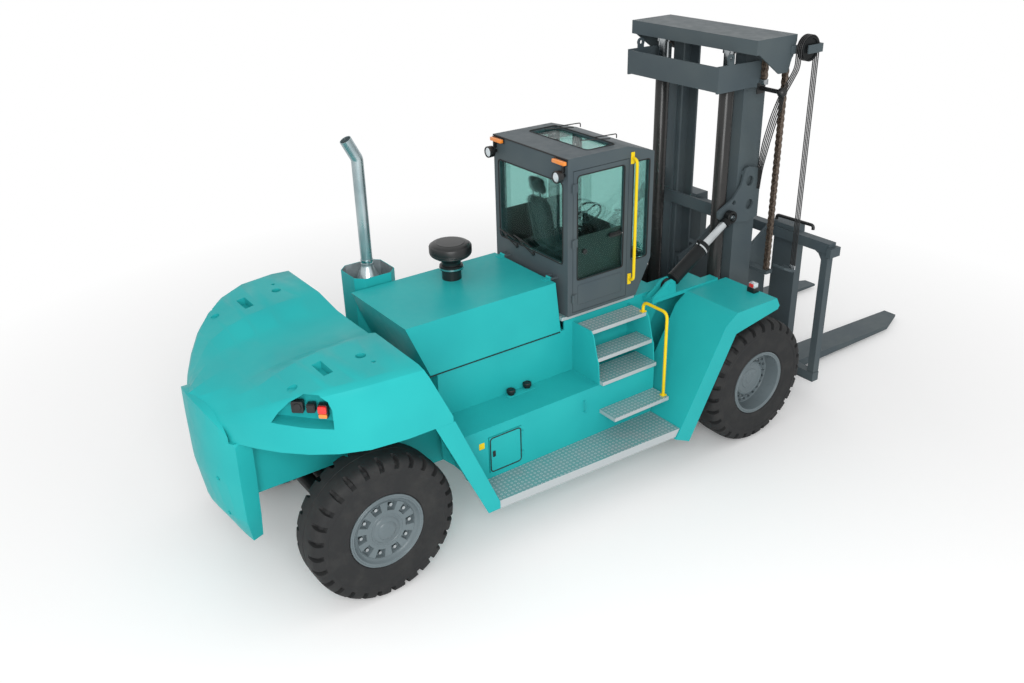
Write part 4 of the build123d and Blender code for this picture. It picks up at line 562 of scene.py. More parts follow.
# Section of the rim that both front duals share, turned without a cut
FRONT_RIM = [
    (-30, 104), (-30, 330), (-44, 338), (-440, 338), (-452, 346), (-452, 375), (-438, 377), (-435, 351),
    (435, 351), (438, 377), (448, 377.5), (452, 373), (452, 364), (447, 360), (446, 355), (450, 351),
    (450, 343), (444, 336), (428, 334), (262, 334), (254, 328), (250, 318), (250, 222), (256, 214),
    (296, 208), (306, 210), (312, 206), (318, 196), (320, 184), (314, 176), (314, 122), (320, 116),
    (320, 62), (316, 56), (316, 0),
]


class FORKLIFT_OT_wheels(bpy.types.Operator):
    """Builds the six tyres with their lug gaps and the rims with nuts, hubs and covers"""
    bl_idname = "forklift.wheels"
    bl_label = "Wheels"

    def execute(self, context):
        tread = [(-row[0], *row[1:]) for row in HALF_TREAD] + HALF_TREAD[::-1]
        for side, sign in SIDES.items():
            for node, body, x, y in (
                (f"rear_tyre_{side}", f"rear_wheel_{side}", REAR_X, REAR_WHEEL_Y),
                (f"front_tyre_outer_{side}", f"front_wheel_{side}", FRONT_X, FRONT_DUALS_Y[1]),
                (f"front_tyre_inner_{side}", f"front_wheel_{side}", FRONT_X, FRONT_DUALS_Y[0]),
            ):
                centre = (x, sign * y, WHEEL_Z)
                tyre = patterned_ring(centre, 1, tread, LUG_COUNT, LUG_OFFSETS, LUG_GATES, 90.0, closed=True)
                piece(f"dressed_{node}", tyre, "tyre_rubber", body, (node,))

            body = f"rear_wheel_{side}"
            centre = (REAR_X, sign * REAR_WHEEL_Y, WHEEL_Z)
            rim = patterned_ring(centre, sign, REAR_RIM, POCKET_COUNT, POCKET_OFFSETS, POCKET_GATES)
            piece(f"dressed_rear_rim_{side}", rim, "rim_paint", body, (f"rear_rim_{side}",))
            behind = (REAR_X, sign * (REAR_WHEEL_Y - 130), WHEEL_Z)
            drum = lathe([(0, 150), (200, 150), (215, 332)], behind, sign * Y)
            piece(f"rear_drum_{side}", drum, "black_paint", body)
            seats = circle_of(centre, 250, POCKET_COUNT, sign * (REAR_WHEEL_Y + 133))
            piece(f"rear_nuts_{side}", nuts(seats, sign * Y, 22, 30), "bright_steel", body)

            body = f"front_wheel_{side}"
            middle = sum(FRONT_DUALS_Y) / 2
            centre = (FRONT_X, sign * middle, WHEEL_Z)
            profile = [(sign * out, r) for out, r in FRONT_RIM]
            rim = lathe(profile if sign > 0 else profile[::-1], centre, Y, 72)
            piece(f"dressed_front_rim_{side}", rim, "rim_paint", body, (f"front_rim_{side}",))
            hub_face = sign * (middle + 250)
            outer = nuts(circle_of(centre, 292, 24, hub_face), sign * Y, 14, 22)
            inner = nuts(circle_of(centre, 248, 24, hub_face, 0.131), sign * Y, 12, 18)
            piece(f"front_nuts_{side}", join(outer, inner), "bright_steel", body)
        return {"FINISHED"}


def leaf_chain(x, y, low, high, pitch=76.0, leaves=6, width=56.0, half=30.0):
    """Chain of interleaved leaves: a leaf's half thickness at height z is half times 0.6 + 0.4 times
    |cos(pi z / pitch)|, and every second leaf is half a pitch further along."""
    steps = int((high - low) / pitch * 8)
    z = np.linspace(low, high, steps + 1)
    share = width / leaves
    shapes = []
    for leaf in range(leaves):
        middle = y - width / 2 + share * (leaf + 0.5)
        wave = half * (0.6 + 0.4 * np.abs(np.cos(np.pi * (z / pitch + 0.5 * (leaf % 2)))))
        wave = np.r_[0.0, wave, 0.0]
        z_all = np.r_[z[0], z, z[-1]]
        corners = []
        for across, along in ((-1, -1), (1, -1), (1, 1), (-1, 1)):
            wide = np.full(len(z_all), along * share * 0.44)
            wide[0] = wide[-1] = 0.0
            corners.append(np.stack([x + across * wave, middle + wide, z_all], 1))
        points = np.stack(corners, 1).reshape(-1, 3)
        shapes.append((points, grid_faces(len(z_all), 4)))
    return join(*shapes)


class FORKLIFT_OT_mast(bpy.types.Operator):
    """Builds the round cylinders, rods, sheaves, leaf chains and hoses of the mast"""
    bl_idname = "forklift.mast"
    bl_label = "Mast"

    def execute(self, context):
        length = np.linalg.norm(TILT_HIGH - TILT_LOW)
        axis = (TILT_HIGH - TILT_LOW) / length
        port_way = np.cross(axis, Y)
        for side, sign in SIDES.items():
            low, high = TILT_LOW + sign * TILT_Y * Y, TILT_HIGH + sign * TILT_Y * Y
            barrel = lathe([
                (40, 0), (40, 26), (88, 26), (92, 60), (100, 80), (125, 80), (129, 76), (575, 76), (580, 84),
                (640, 84), (644, 80), (652, 80), (658, 70), (660, 46),
            ], low, axis)
            eye = lathe([(-27, 40), (-27, 72), (-22, 77), (22, 77), (27, 72), (27, 40)], low, Y)
            profile = [(0, 0), (0, 16), (34, 16), (34, 11), (46, 11), (46, 0)]
            port = lathe(profile, low + axis * 600 + 82 * port_way, port_way, 16)
            body = f"tilt_barrel_{side}"
            piece(f"dressed_{body}", join(barrel, eye, port), "black_paint", body, (body,))
            ring = lathe([(581, 84.3), (590, 84.9), (600, 84.3)], low, axis)
            piece(f"gland_ring_{side}", ring, "bright_steel", body)
            body = f"tilt_rod_{side}"
            rod = lathe([(430, 0), (430, 43), (438, 45), (length - 70, 45), (length - 70, 0)], low, axis)
            piece(f"dressed_{body}", rod, "bright_steel", body, (body,))
            profile = [(-38, 44), (-38, 70), (-33, 74.5), (33, 74.5), (38, 70), (38, 44), (-38, 44)]
            clevis = lathe(profile, high, Y)
            profile = [(length - 122, 46), (length - 118, 58), (length - 66, 58), (length - 66, 30)]
            neck = lathe(profile, low, axis, 32)
            piece(f"tilt_clevis_{side}", join(clevis, neck), "black_paint", body)
            pin = lathe([(0, 0), (0, 30), (8, 27), (8, 0)], high + sign * 44 * Y, sign * Y, 32)
            piece(f"tilt_pin_cap_{side}", pin, "bright_steel", "mast_outer")

        barrels, rods, glands, sheaves = [], [], [], []
        for sign in SIDES.values():
            foot = (LIFT_X, sign * LIFT_Y, 0)
            barrels.append(lathe([
                (940.5, 0), (940.5, 81), (3890, 81), (3895, 78), (3930, 78), (3935, 81.5), (3980, 81.5),
                (3984, 76), (3984, 61),
            ], foot, Z))
            glands.append(lathe([(3984, 61), (3984, 72), (3996, 72), (4000, 66), (4000, 61)], foot, Z))
            profile = [(1062, 0), (1062, 60), (4270, 60), (4272, 74), (4319, 74), (4319, 0)]
            rods.append(lathe(profile, foot, Z))
            sheaves.append(lathe([
                (-32, 36), (-32, 60), (-20, 66), (-20, 120), (-32, 128), (-32, 149), (-28, 149.5), (-26, 140),
                (26, 140), (28, 149.5), (32, 149), (32, 128), (20, 120), (20, 66), (32, 60), (32, 36),
            ], (SHEAVE_X, sign * CHAIN_Y, SHEAVE_Z), Y, 64))
        piece("dressed_lift_barrels", join(*barrels), "cylinder_paint", "mast_outer", ("lift_barrels",))
        piece("lift_glands", join(*glands), "bright_steel", "mast_outer")
        piece("dressed_lift_rods", join(*rods), "bright_steel", "mast_inner", ("lift_rods",))
        sheaves.append(lathe([
            (-38, 23), (-38, 40), (-26, 46), (-26, 108), (-38, 112), (-38, 131.5), (38, 131.5), (38, 112),
            (26, 108), (26, 46), (38, 40), (38, 23),
        ], (HOSE_X, HOSE_Y, HOSE_Z), Y, 64))
        piece("dressed_chain_sheaves", join(*sheaves), "black_paint", "mast_inner", ("chain_sheaves",))

        turn = np.linspace(0, np.pi, 33)
        for side, sign in SIDES.items():
            y = sign * CHAIN_Y
            for name, way, low, body, start in (
                ("front", 1, 1682.0, "carriage", 1740), ("rear", -1, 3992.0, "mast_outer", 4000),
            ):
                x = SHEAVE_X + way * CHAIN_RADIUS
                chain = leaf_chain(x, y, low, SHEAVE_Z)
                replaced = (f"lift_chain_{name}",) if side == "right" else ()
                bend = span(body, "mast_inner", x, y, start, 4240)
                piece(f"{name}_chain_{side}", chain, "chain_steel", bend, replaced)
            anchor_x = SHEAVE_X - CHAIN_RADIUS
            anchor = slab((anchor_x - 34, sign * 713, 3931), (anchor_x + 34, sign * 790, 3989))
            piece(f"chain_anchor_{side}", anchor, "bright_steel", "mast_outer", bevel=4, slot="chain_steel")
            band = []
            for leaf in range(7):
                middle = y - 27 + 54 / 7 * (leaf + 0.5)
                wave = CHAIN_RADIUS + 3.0 * np.cos(turn * 16 + np.pi * leaf)
                band.append(tube(arc_over(SHEAVE_X, middle, SHEAVE_Z, CHAIN_RADIUS, turn), 3.6, Y, 6))
                band.append(tube(arc_over(SHEAVE_X, middle, SHEAVE_Z, wave, turn), 12, Y, 6))
            piece(f"chain_over_sheave_{side}", join(*band), "chain_steel", "mast_inner")

        turn = np.linspace(0, np.pi, 25)
        heights = np.linspace(1740, HOSE_Z, 30)
        outer, inner = HOSE_X + HOSE_RADIUS, HOSE_X - HOSE_RADIUS
        front, over, rear = [], [], []
        for number in range(4):
            y = HOSE_Y + (number - 1.5) * HOSE_GAP
            path = np.stack([np.full(30, outer), np.full(30, y), heights], 1)
            front.append(tube(path, 6.5, Y, 10))
            over.append(tube(arc_over(HOSE_X, y, HOSE_Z, HOSE_RADIUS, turn), 6.5, Y, 10))
            corners = [(1475, y, 3885), (1560, y, 3990), (inner, y, 4120), (inner, y, HOSE_Z)]
            rear.append(tube(bent(corners, 60), 6.5, Y, 10))
        bend = span("carriage", "mast_inner", outer, HOSE_Y, 1780, 4290)
        piece("front_hoses", join(*front), "hose_rubber", bend, ("mast_hoses",))
        piece("hoses_over_sheave", join(*over), "hose_rubber", "mast_inner")
        bend = span("mast_outer", "mast_inner", inner, HOSE_Y, 3920, 4290)
        piece("rear_hoses", join(*rear), "hose_rubber", bend)
        return {"FINISHED"}


class FORKLIFT_OT_deck(bpy.types.Operator):
    """Builds the rails, filler caps, hatch seals and latches, pre-cleaner and exhaust"""
    bl_idname = "forklift.deck"
    bl_label = "Deck fittings"

    def execute(self, context):
        rails, flanges = [], []
        for sign in SIDES.values():
            edge, inner = sign * 1240, sign * 870
            corners = [(-300, edge, 892), (-300, edge, 1880), (-300, inner, 1880), (-300, inner, 1767)]
            rails.append(tube(bent(corners, 75), 17, X, 16))
            wall, grab = sign * 648, sign * 715
            corners = [(-315, wall, 2080), (-315, grab, 2080), (-315, grab, 3420), (-315, wall, 3420)]
            rails.append(tube(bent(corners, 55), 17, X, 16))
            for y, z in ((edge, 892), (inner, 1767)):
                flanges.append(prism(rounded(30, 30, 8), (-300, y, z - 1), X, Y, 9))
            for z in (2080, 3420):
                flanges.append(prism(rounded(24, 62, 8), (-315, sign * 642, z), X, Z, -sign * 8))
        shape = join(*rails, *flanges)
        piece("dressed_handrails", shape, "yellow_paint", "chassis", ("handrails",), bevel=1.5)

        foot = (-2020, 237, 2250.3)
        cleaner = lathe([
            (0, 0), (0, 103), (96, 103), (102, 112), (106, 122), (112, 124.5), (152, 124.5), (158, 118),
            (161, 102), (196, 101), (208, 108), (236, 160), (262, 202), (274, 214), (280, 212), (284, 220),
            (296, 223), (302, 220), (306, 224), (362, 224), (372, 219), (378, 206), (384, 200), (392, 190),
            (400, 152), (404, 148), (406, 90), (407, 60), (407, 0),
        ], foot, Z, 64)
        ribs = []
        for a in np.linspace(0, 2 * np.pi, 24, endpoint=False):
            cos, sin = math.cos(a), math.sin(a)
            ends = [(foot[0] + r * cos, foot[1] + r * sin, z) for r, z in ((60, 2650), (196, 2636))]
            ribs.append(tube(ends, 4, (-sin, cos, 0), 6))
        piece("dressed_air_precleaner", join(cleaner, *ribs), "black_plastic", "hood", ("air_precleaner",))
        strap = lathe([(118, 126), (118, 128.5), (136, 128.5), (136, 126)], foot, Z, 64)
        piece("precleaner_strap", strap, "bright_steel", "hood", slot="black_plastic")

        x, y, base = -2690.0, 845.0, 2090.3
        lean = np.array((-110.0, 0.0, 215.0)) / math.hypot(110, 215)
        share = np.linspace(0, 1, 10)[:, None]
        low, mid = np.array((x, y, 3500.0)), np.array((x, y, 3525.0))
        curve = (1 - share) ** 2 * low + 2 * share * (1 - share) * mid + share ** 2 * (mid + lean * 25)
        ways = 2 * (1 - share) * (mid - low) + 2 * share * lean * 25
        straight = [
            (0, 0), (0, 164), (58, 164), (62, 160), (272, 66), (292, 62), (296, 62), (300, 66), (312, 66),
            (316, 62),
        ]
        tip = mid + lean * 239
        mouth = [tip, tip, tip - lean * 140, tip - lean * 140]
        centres = np.concatenate([[(x, y, base + a) for a, r in straight], curve, mouth])
        tangents = np.concatenate([np.tile(Z, (len(straight), 1)), ways, np.tile(lean, (4, 1))])
        radii = np.array([r for a, r in straight] + [62] * len(curve) + [62, 57, 57, 0])
        stack = sweep(centres, tangents, radii, Y, 40)
        piece("dressed_exhaust_stack", stack, "stack_steel", "chassis", ("exhaust_stack",))
        clamp = lathe([(330, 62.5), (330, 69), (352, 69), (352, 62.5)], (x, y, base), Z, 40)
        ears = slab((x - 12, y - 92, base + 333), (x + 12, y - 66, base + 349))
        piece("stack_clamp", join(clamp, ears), "bright_steel", "chassis")
        half, cut = 231.0, 145.0
        corners = [
            (half, cut), (cut, half), (-cut, half), (-half, cut), (-half, -cut), (-cut, -half), (cut, -half),
            (half, -cut),
        ]
        rings = [np.column_stack([corners, np.full(8, z)]) for z in (2092.0, 2329.0)]
        inward = [face[::-1] for face in grid_faces(2, 8)]
        piece("shroud_liner", (np.concatenate(rings) + (x, y, 0), inward), "plain_aluminium", "chassis")

        caps, necks = [], []
        profile = [(30, 0), (30, 46), (34, 49), (62, 49), (68, 44), (70, 30), (66, 26), (66, 0)]
        for spot in ((-1915, -650, 1190), (-1694, -629, 1190)):
            necks.append(lathe([(0, 0), (0, 34), (30, 34), (30, 0)], spot, Z, 32))
            caps.append(lathe(profile, spot, Z, 10))
        pad = slab((-1975, -700, 1190), (-1635, -585, 1200))
        piece("filler_pad", pad, "turquoise_paint", "chassis", bevel=3)
        piece("filler_caps", join(*caps), "black_plastic", "chassis", bevel=2)
        piece("filler_necks", join(*necks), "black_paint", "chassis")

        # Black strips along the hood's lower side edges are painted shade: they stand for the shadow in the
        # gap between the hood and the body below
        low, high = (1000.0 * np.array(corner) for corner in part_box("hood"))
        seals = []
        for sign in SIDES.values():
            start = (low[0] + 12, sign * high[1] - 9, low[2] - 9)
            seals.append(slab(start, (high[0] - 12, sign * high[1] + 1, low[2] - 1)))
        piece("hood_shadow_gap_strips", join(*seals), "seal_rubber", "chassis")

        for side, sign in SIDES.items():
            front = sign * HATCH_FACE_Y
            loop = rounded(186, 196, 36, 8)
            path = np.column_stack([-2280 + loop[:, 0], np.full(len(loop), front), 870 + loop[:, 1]])
            body = f"access_hatch_{side}"
            piece(f"hatch_seal_{side}", tube(path, 6.5, Y, 10, closed=True), "seal_rubber", body)
            plate = prism(rounded(17, 34, 8), (-2425, front, 880), X, Z, -sign * 7)
            key = lathe([(0, 0), (0, 12), (6, 10), (6, 0)], (-2425, front + sign * 6, 894), sign * Y, 20)
            piece(f"hatch_latch_{side}", join(plate, key), "black_plastic", body, bevel=2)
            wall, reach = sign * TANK_SIDE_Y, sign * 1078
            tag = prism(rounded(32, 34, 6), (-2560, wall + sign * 0.2, 1010), X, Z, -sign * 3)
            piece(f"yellow_tag_{side}", tag, "yellow_paint", "chassis", bevel=1)
            grip = [(-1262, wall, 945), (-1262, reach, 945), (-1262, reach, 1070), (-1262, wall, 1070)]
            piece(f"tank_grip_{side}", tube(bent(grip, 14), 6, X, 10), "turquoise_paint", "chassis")
        return {"FINISHED"}


class FORKLIFT_OT_lamps(bpy.types.Operator):
    """Builds the lamps in the counterweight's niches, under the roof and on the fenders"""
    bl_idname = "forklift.lamps"
    bl_label = "Lamps"

    def execute(self, context):
        shells, silver, red, amber = [], [], [], []
        for sign in SIDES.values():
            tip, front = np.array((-4586.0, sign * 914.0, 0)), np.array((-4180.0, sign * 1274.0, 0))
            along = (front - tip) / np.linalg.norm(front - tip)
            inward = np.cross(Z, along) * -sign
            v = Z if np.dot(np.cross(along, Z), -inward) > 0 else -Z
            for kind, s, z, half_u, half_v in (
                ("horn", 235, 2112, 52, 55), ("blank", 352, 2104, 38, 42), ("tail", 455, 2078, 42, 66),
            ):
                back = tip + along * s + z * Z + inward * 139.7
                shells.append(prism(rounded(16, 16, 6), back, along, v, 55))
                shells.append(prism(rounded(half_u, half_v, 12), back - inward * 50, along, v, 58))
                if kind == "tail":
                    red.append(prism(rounded(38, 36, 16), back - inward * 104 + 24 * Z, along, v, 26))
                    amber.append(prism(rounded(36, 19, 9), back - inward * 104 - 38 * Z, along, v, 20))
                elif kind == "blank":
                    lid = rounded(half_u - 7, half_v - 7, 9)
                    shells.append(prism(lid, back - inward * 106, along, v, 10))
                else:
                    shells.append(lathe([(108, 0), (108, 40), (118, 36), (118, 0)], back, -inward, 32))

            y, back = sign * 590, (CAB_REAR_X, sign * 590, 3390)
            shells.append(lathe([
                (0, 0), (0, 20), (28, 20), (40, 44), (56, 60), (112, 61.5), (119, 60), (119, 52), (112, 50),
            ], back, -X, 40))
            silver.append(lathe([(108, 50), (112, 49), (116, 30), (117, 0)], back, -X, 40))
            shells.append(slab((-1200, y - 9, 3420), (-1160, y + 9, 3505)))
            y = sign * 540
            amber.append(prism(rounded(98, 19, 8), (CAB_REAR_X, y, 3518), Y, Z, -50))
            shells.append(slab((-1176, y - 104, 3494), (-1160, y + 104, 3541)))
            x, y = 1025, sign * 1235
            shells.append(prism(rounded(45, 55, 10), (x, y, 1765.3), X, Y, 55))
            silver.append(prism(rounded(34, 44, 10), (x, y, 1820), X, Y, 52))
            red.append(prism(rounded(30, 20, 8), (x - 44, y, 1847), Y, Z, 16))
        piece("lamp_shells", join(*shells), "black_plastic", "chassis", ("lamps",), bevel=2)
        piece("work_lamp_lenses", join(*silver), "silver_lens", "chassis", bevel=2)
        piece("red_lenses", join(*red), "red_lens", "chassis", bevel=3)
        piece("amber_lenses", join(*amber), "orange_lens", "chassis", bevel=3)
        return {"FINISHED"}


def seal_loop(centre, u, v, half_u, half_v, radius=7.0, corner=40.0):
    """Rubber seal round an opening: a thin round bar along a rounded rectangle in the plane of u and v."""
    loop = rounded(half_u, half_v, corner, 6)
    path = np.array(centre, float) + loop[:, :1] * np.array(u, float) + loop[:, 1:] * np.array(v, float)
    return tube(path, radius, np.cross(u, v), 8, closed=True)


class FORKLIFT_OT_cab(bpy.types.Operator):
    """Builds the cab's seals, a dark sheet of painted shade behind each door's lower glass, handles, wipers,
    steering wheel and console
    """
    bl_idname = "forklift.cab"
    bl_label = "Cab"

    def execute(self, context):
        seals = [
            seal_loop((-1161, 0, 2865), Y, Z, 561, 436),
            seal_loop((-11, 0, 2830), Y, Z, 561, 541),
            seal_loop((-615, 0, 3556), X, Y, 186, 501),
        ]
        for sign in SIDES.values():
            seals.append(seal_loop((-182.5, sign * CAB_SIDE_Y, 2830), X, Z, 113, 541, corner=30))
        piece("cab_window_seals", join(*seals), "seal_rubber", "chassis")
        for side, sign in SIDES.items():
            body = f"cab_door_{side}"
            out, near, far = sign * CAB_SIDE_Y, sign * 642, sign * 654
            seal = seal_loop((-725, out, 2805), X, Z, 311, 561, corner=30)
            piece(f"door_seal_{side}", seal, "seal_rubber", body)
            # A dark sheet just inside each door's lower glass: painted shade standing for the dim inside of
            # the cab
            trim = prism(rounded(308, 232, 10), (-725, sign * 611, 2479), X, Z, -sign * 3)
            piece(f"door_glass_shade_{side}", trim, "door_shade_panel", body, bevel=1)
            cup = prism(rounded(82, 24, 23), (-520, sign * 616, 2636), X, Z, -sign * 26)
            grip = [(-590, near, 2640), (-590, far, 2640), (-452, far, 2640), (-452, near, 2640)]
            lever = tube(bent(grip, 10), 8, Z, 10)
            profile = [(0, 0), (0, 30), (24, 28), (28, 22), (28, 14), (24, 12), (24, 0)]
            lock = lathe(profile, (-926, sign * 616, 2539), sign * Y, 32)
            piece(f"door_handle_{side}", join(cup, lever, lock), "black_plastic", body, bevel=2)
            key = lathe([(0, 0), (0, 7), (3, 6), (3, 0)], (-428, out, 2636), sign * Y, 16)
            piece(f"door_key_{side}", key, "bright_steel", body, slot="black_plastic")
            ridge = seal_loop((-725, near, 2075), X, Z, 300, 112, radius=4.0, corner=22)
            piece(f"door_ridge_{side}", ridge, "grey_paint", body)

        wipers = []
        for y, reach in ((-60, 260), (240, 240)):
            wipers += [
                lathe([(0, 0), (0, 22), (18, 20), (22, 12), (22, 0)], (-1161, y, 2400), -X, 20),
                tube([(-1178, y, 2400), (-1184, y + reach * 0.6, 2452), (-1176, y + reach, 2500)], 7, X, 8),
                tube([(-1172, y + reach - 230, 2470), (-1172, y + reach + 90, 2516)], 8, X, 8),
            ]
        for y in (-300, 300):
            wipers.append(tube(bent([(-240, y, 3545), (-240, y, 3590), (-560, y, 3604)], 20), 6, Y, 8))
            wipers.append(tube([(-420, y - 110, 3592), (-700, y + 40, 3592)], 6, Z, 8))
        piece("wipers", join(*wipers), "black_plastic", "chassis", bevel=1)
        edge = tube([(-1162, -CAB_SIDE_Y, 3552), (-1162, CAB_SIDE_Y, 3552)], 8, X, 10)
        piece("roof_edge_strip", edge, "seal_rubber", "chassis")

        lean = np.array((-130.0, 0.0, 280.0)) / math.hypot(130, 280)
        centre = np.array((-420.0, 0.0, 2672.0))
        flat = np.cross(Y, lean)
        turn = np.linspace(0, 2 * np.pi, 48, endpoint=False)[:, None]
        wheel = centre + 188 * (np.cos(turn) * flat + np.sin(turn) * Y)
        parts = [
            tube(wheel, 12, lean, 12, closed=True),
            lathe([(-30, 0), (-30, 34), (4, 44), (12, 40), (14, 0)], centre, lean, 32),
        ]
        for a in (0, 2.2, -2.2):
            rim_point = centre + 186 * (math.cos(a) * flat + math.sin(a) * Y)
            parts.append(tube([centre, rim_point], 9, lean, 8))
        column = [(0, 0), (0, 46), (250, 38), (270, 30), (300, 26), (310, 0)]
        dash = [(-340, 2330), (-232, 2330), (-160, 2500), (-190, 2560), (-300, 2470)]
        parts += [
            lathe(column, centre - lean * 310, lean, 32),
            slab((-350, -128, CAB_FLOOR_Z), (-232, 128, 2380)),
            prism(dash, (0, 240, 0), X, Z, 480),
        ]
        for y in (-330, 330):
            parts += [
                slab((-960, y - 50, 2330), (-560, y + 50, 2400)),
                slab((-880, y - 40, 1906), (-640, y + 40, 2330)),
                lathe([(0, 0), (0, 9), (70, 8), (74, 18), (104, 18), (110, 0)], (-610, y, 2400), Z, 16),
            ]
        piece("dressed_console", join(*parts), "black_plastic", "chassis", ("steering_console",), bevel=8)
        return {"FINISHED"}


def cushion_shape(centre, axes, half, power=5.0):
    """Closed pad: a ball's points pushed out to |x|^p + |y|^p + |z|^p = 1, scaled to the pad's half sizes."""
    heights, turns = np.linspace(-np.pi / 2, np.pi / 2, 25), np.linspace(0, 2 * np.pi, 48, endpoint=False)
    up, turn = np.meshgrid(heights, turns, indexing="ij")
    ball = np.stack([np.cos(up) * np.cos(turn), np.cos(up) * np.sin(turn), np.sin(up)], -1).reshape(-1, 3)
    ball /= (np.abs(ball) ** power).sum(1)[:, None] ** (1 / power)
    return np.array(centre) + (ball * np.array(half)) @ np.array(axes), grid_faces(25, 48)


CLOTH_FRAMES = 20


def puff(item, cap):
    """Cloth simulation of a pad under pressure, over a voxel remesh, with each point's travel capped."""
    remesh = item.modifiers.new("Remesh", "REMESH")
    remesh.mode = "VOXEL"
    remesh.voxel_size = 0.012
    apply_modifiers(item)
    count = len(item.data.vertices)
    start, end = np.zeros(count * 3), np.zeros(count * 3)
    item.data.vertices.foreach_get("co", start)
    cloth = item.modifiers.new("Cloth", "CLOTH")
    cloth.settings.use_pressure = True
    cloth.settings.uniform_pressure_force = 4.0
    cloth.settings.effector_weights.gravity = 0.0
    cloth.point_cache.frame_start, cloth.point_cache.frame_end = 1, CLOTH_FRAMES
    scene = bpy.context.scene
    for number in range(1, CLOTH_FRAMES + 1):
        scene.frame_set(number)
    ready = item.evaluated_get(bpy.context.evaluated_depsgraph_get())
    ready.data.vertices.foreach_get("co", end)
    item.modifiers.remove(cloth)
    scene.frame_set(1)
    move = (end - start).reshape(-1, 3)
    length = np.linalg.norm(move, axis=1)[:, None]
    move *= np.minimum(1.0, cap / np.maximum(length, 1e-9))
    item.data.vertices.foreach_set("co", (start.reshape(-1, 3) + move).ravel())
    item.data.update()

def apply_modifiers(item):
    """Replaces an object's mesh by its evaluated one."""
    mesh = bpy.data.meshes.new_from_object(item.evaluated_get(bpy.context.evaluated_depsgraph_get()))
    item.modifiers.clear()
    item.data = mesh


class FORKLIFT_OT_seat(bpy.types.Operator):
    """Builds the driver's seat with puffed cushions on its base"""
    bl_idname = "forklift.seat"
    bl_label = "Seat"

    def execute(self, context):
        lean = math.atan2(140, 690)
        back_axes = [(math.cos(lean), 0, math.sin(lean)), (0, 1, 0), (-math.sin(lean), 0, math.cos(lean))]
        pads = (
            ("cushion_base", (-752, 0, 2304), np.eye(3), (238, 240, 48), 0.016, ("seat",)),
            ("cushion_back", (-978, 0, 2690), back_axes, (42, 226, 325), 0.016, ()),
            ("cushion_head", (-1060, 0, 3130), back_axes, (30, 124, 88), 0.012, ()),
        )
        for name, centre, axes, half, cap, replaced in pads:
            item = piece(name, cushion_shape(centre, axes, half), "seat_cloth", "chassis", replaced)
            item.modifiers.clear()
            puff(item, cap)
            smooth = item.modifiers.new("Soft", "SUBSURF")
            smooth.levels = smooth.render_levels = 1
            item.modifiers.new("Smooth", "NODES").node_group = shading_group()
        parts = [
            slab((-960, -190, CAB_FLOOR_Z), (-560, 190, 2230)),
            slab((-1010, -215, 2225), (-500, 215, 2262)),
        ]
        parts += [tube([(-1062, y, 3010), (-1075, y, 3090)], 8, Y, 10) for y in (-60, 60)]
        piece("cushion_frame", join(*parts), "black_plastic", "chassis", bevel=10)
        return {"FINISHED"}


class FORKLIFT_OT_hoses(bpy.types.Operator):
    """Builds the bracket and bunch of hoses behind the hose pulley, their foot and the fork positioner bar"""
    bl_idname = "forklift.hoses"
    bl_label = "Hose bracket"

    def execute(self, context):
        arm = tube(bent([(1461, -712, 3885), (1461, -960, 3885), (1461, -1010, 3885)], 20), 24, Z, 16)
        profile = [(-52, 0), (-46, 26), (-30, 44), (-10, 52), (10, 52), (30, 44), (46, 26), (52, 0)]
        ball = lathe(profile, (1461.0, -1010.0, 3885.0), Z, 32)
        flange = prism(rounded(60, 60, 10), (1461, -706, 3885), X, Z, 12)
        piece("hose_bracket", join(arm, ball, flange), "black_plastic", "mast_outer", bevel=3)
        bunch = []
        for number in range(5):
            off = (number - 2) * 24.0
            corners = [
                (1475, -1010 + off * 0.5, 3890), (1500, -950 + off, 3720), (1562, -850 + off, 3566),
                (1600, -740 + off, 3250), (1632, -660 + off * 0.7, 2932), (1632, -640 + off * 0.7, 2700),
            ]
            bunch.append(tube(bent(corners, 90, 9), 7, X, 10))
        piece("hose_bunch", join(*bunch), "hose_rubber", "mast_outer")
        outline = [(1753, 1806), (1753, 1776), (1900, 1706), (1965, 1706), (1965, 1736), (1905, 1736)]
        piece("hose_foot", prism(outline, (0, -880, 0), X, Z, 180), "grey_paint", "carriage", bevel=3)
        ends = []
        for number in range(4):
            spot = (HOSE_X + HOSE_RADIUS, HOSE_Y + (number - 1.5) * HOSE_GAP, 1734)
            ends.append(lathe([(0, 0), (0, 11), (50, 11), (50, 0)], spot, Z, 12))
        piece("hose_ends", join(*ends), "bright_steel", "carriage")
        rail = bent([(2300, -427, 2120), (2300, -427, 2172), (2330, -960, 2172), (2330, -960, 2120)], 34)
        piece("positioner_bar", tube(rail, 20, (1, 0.056, 0), 16), "black_plastic", "carriage")
        return {"FINISHED"}


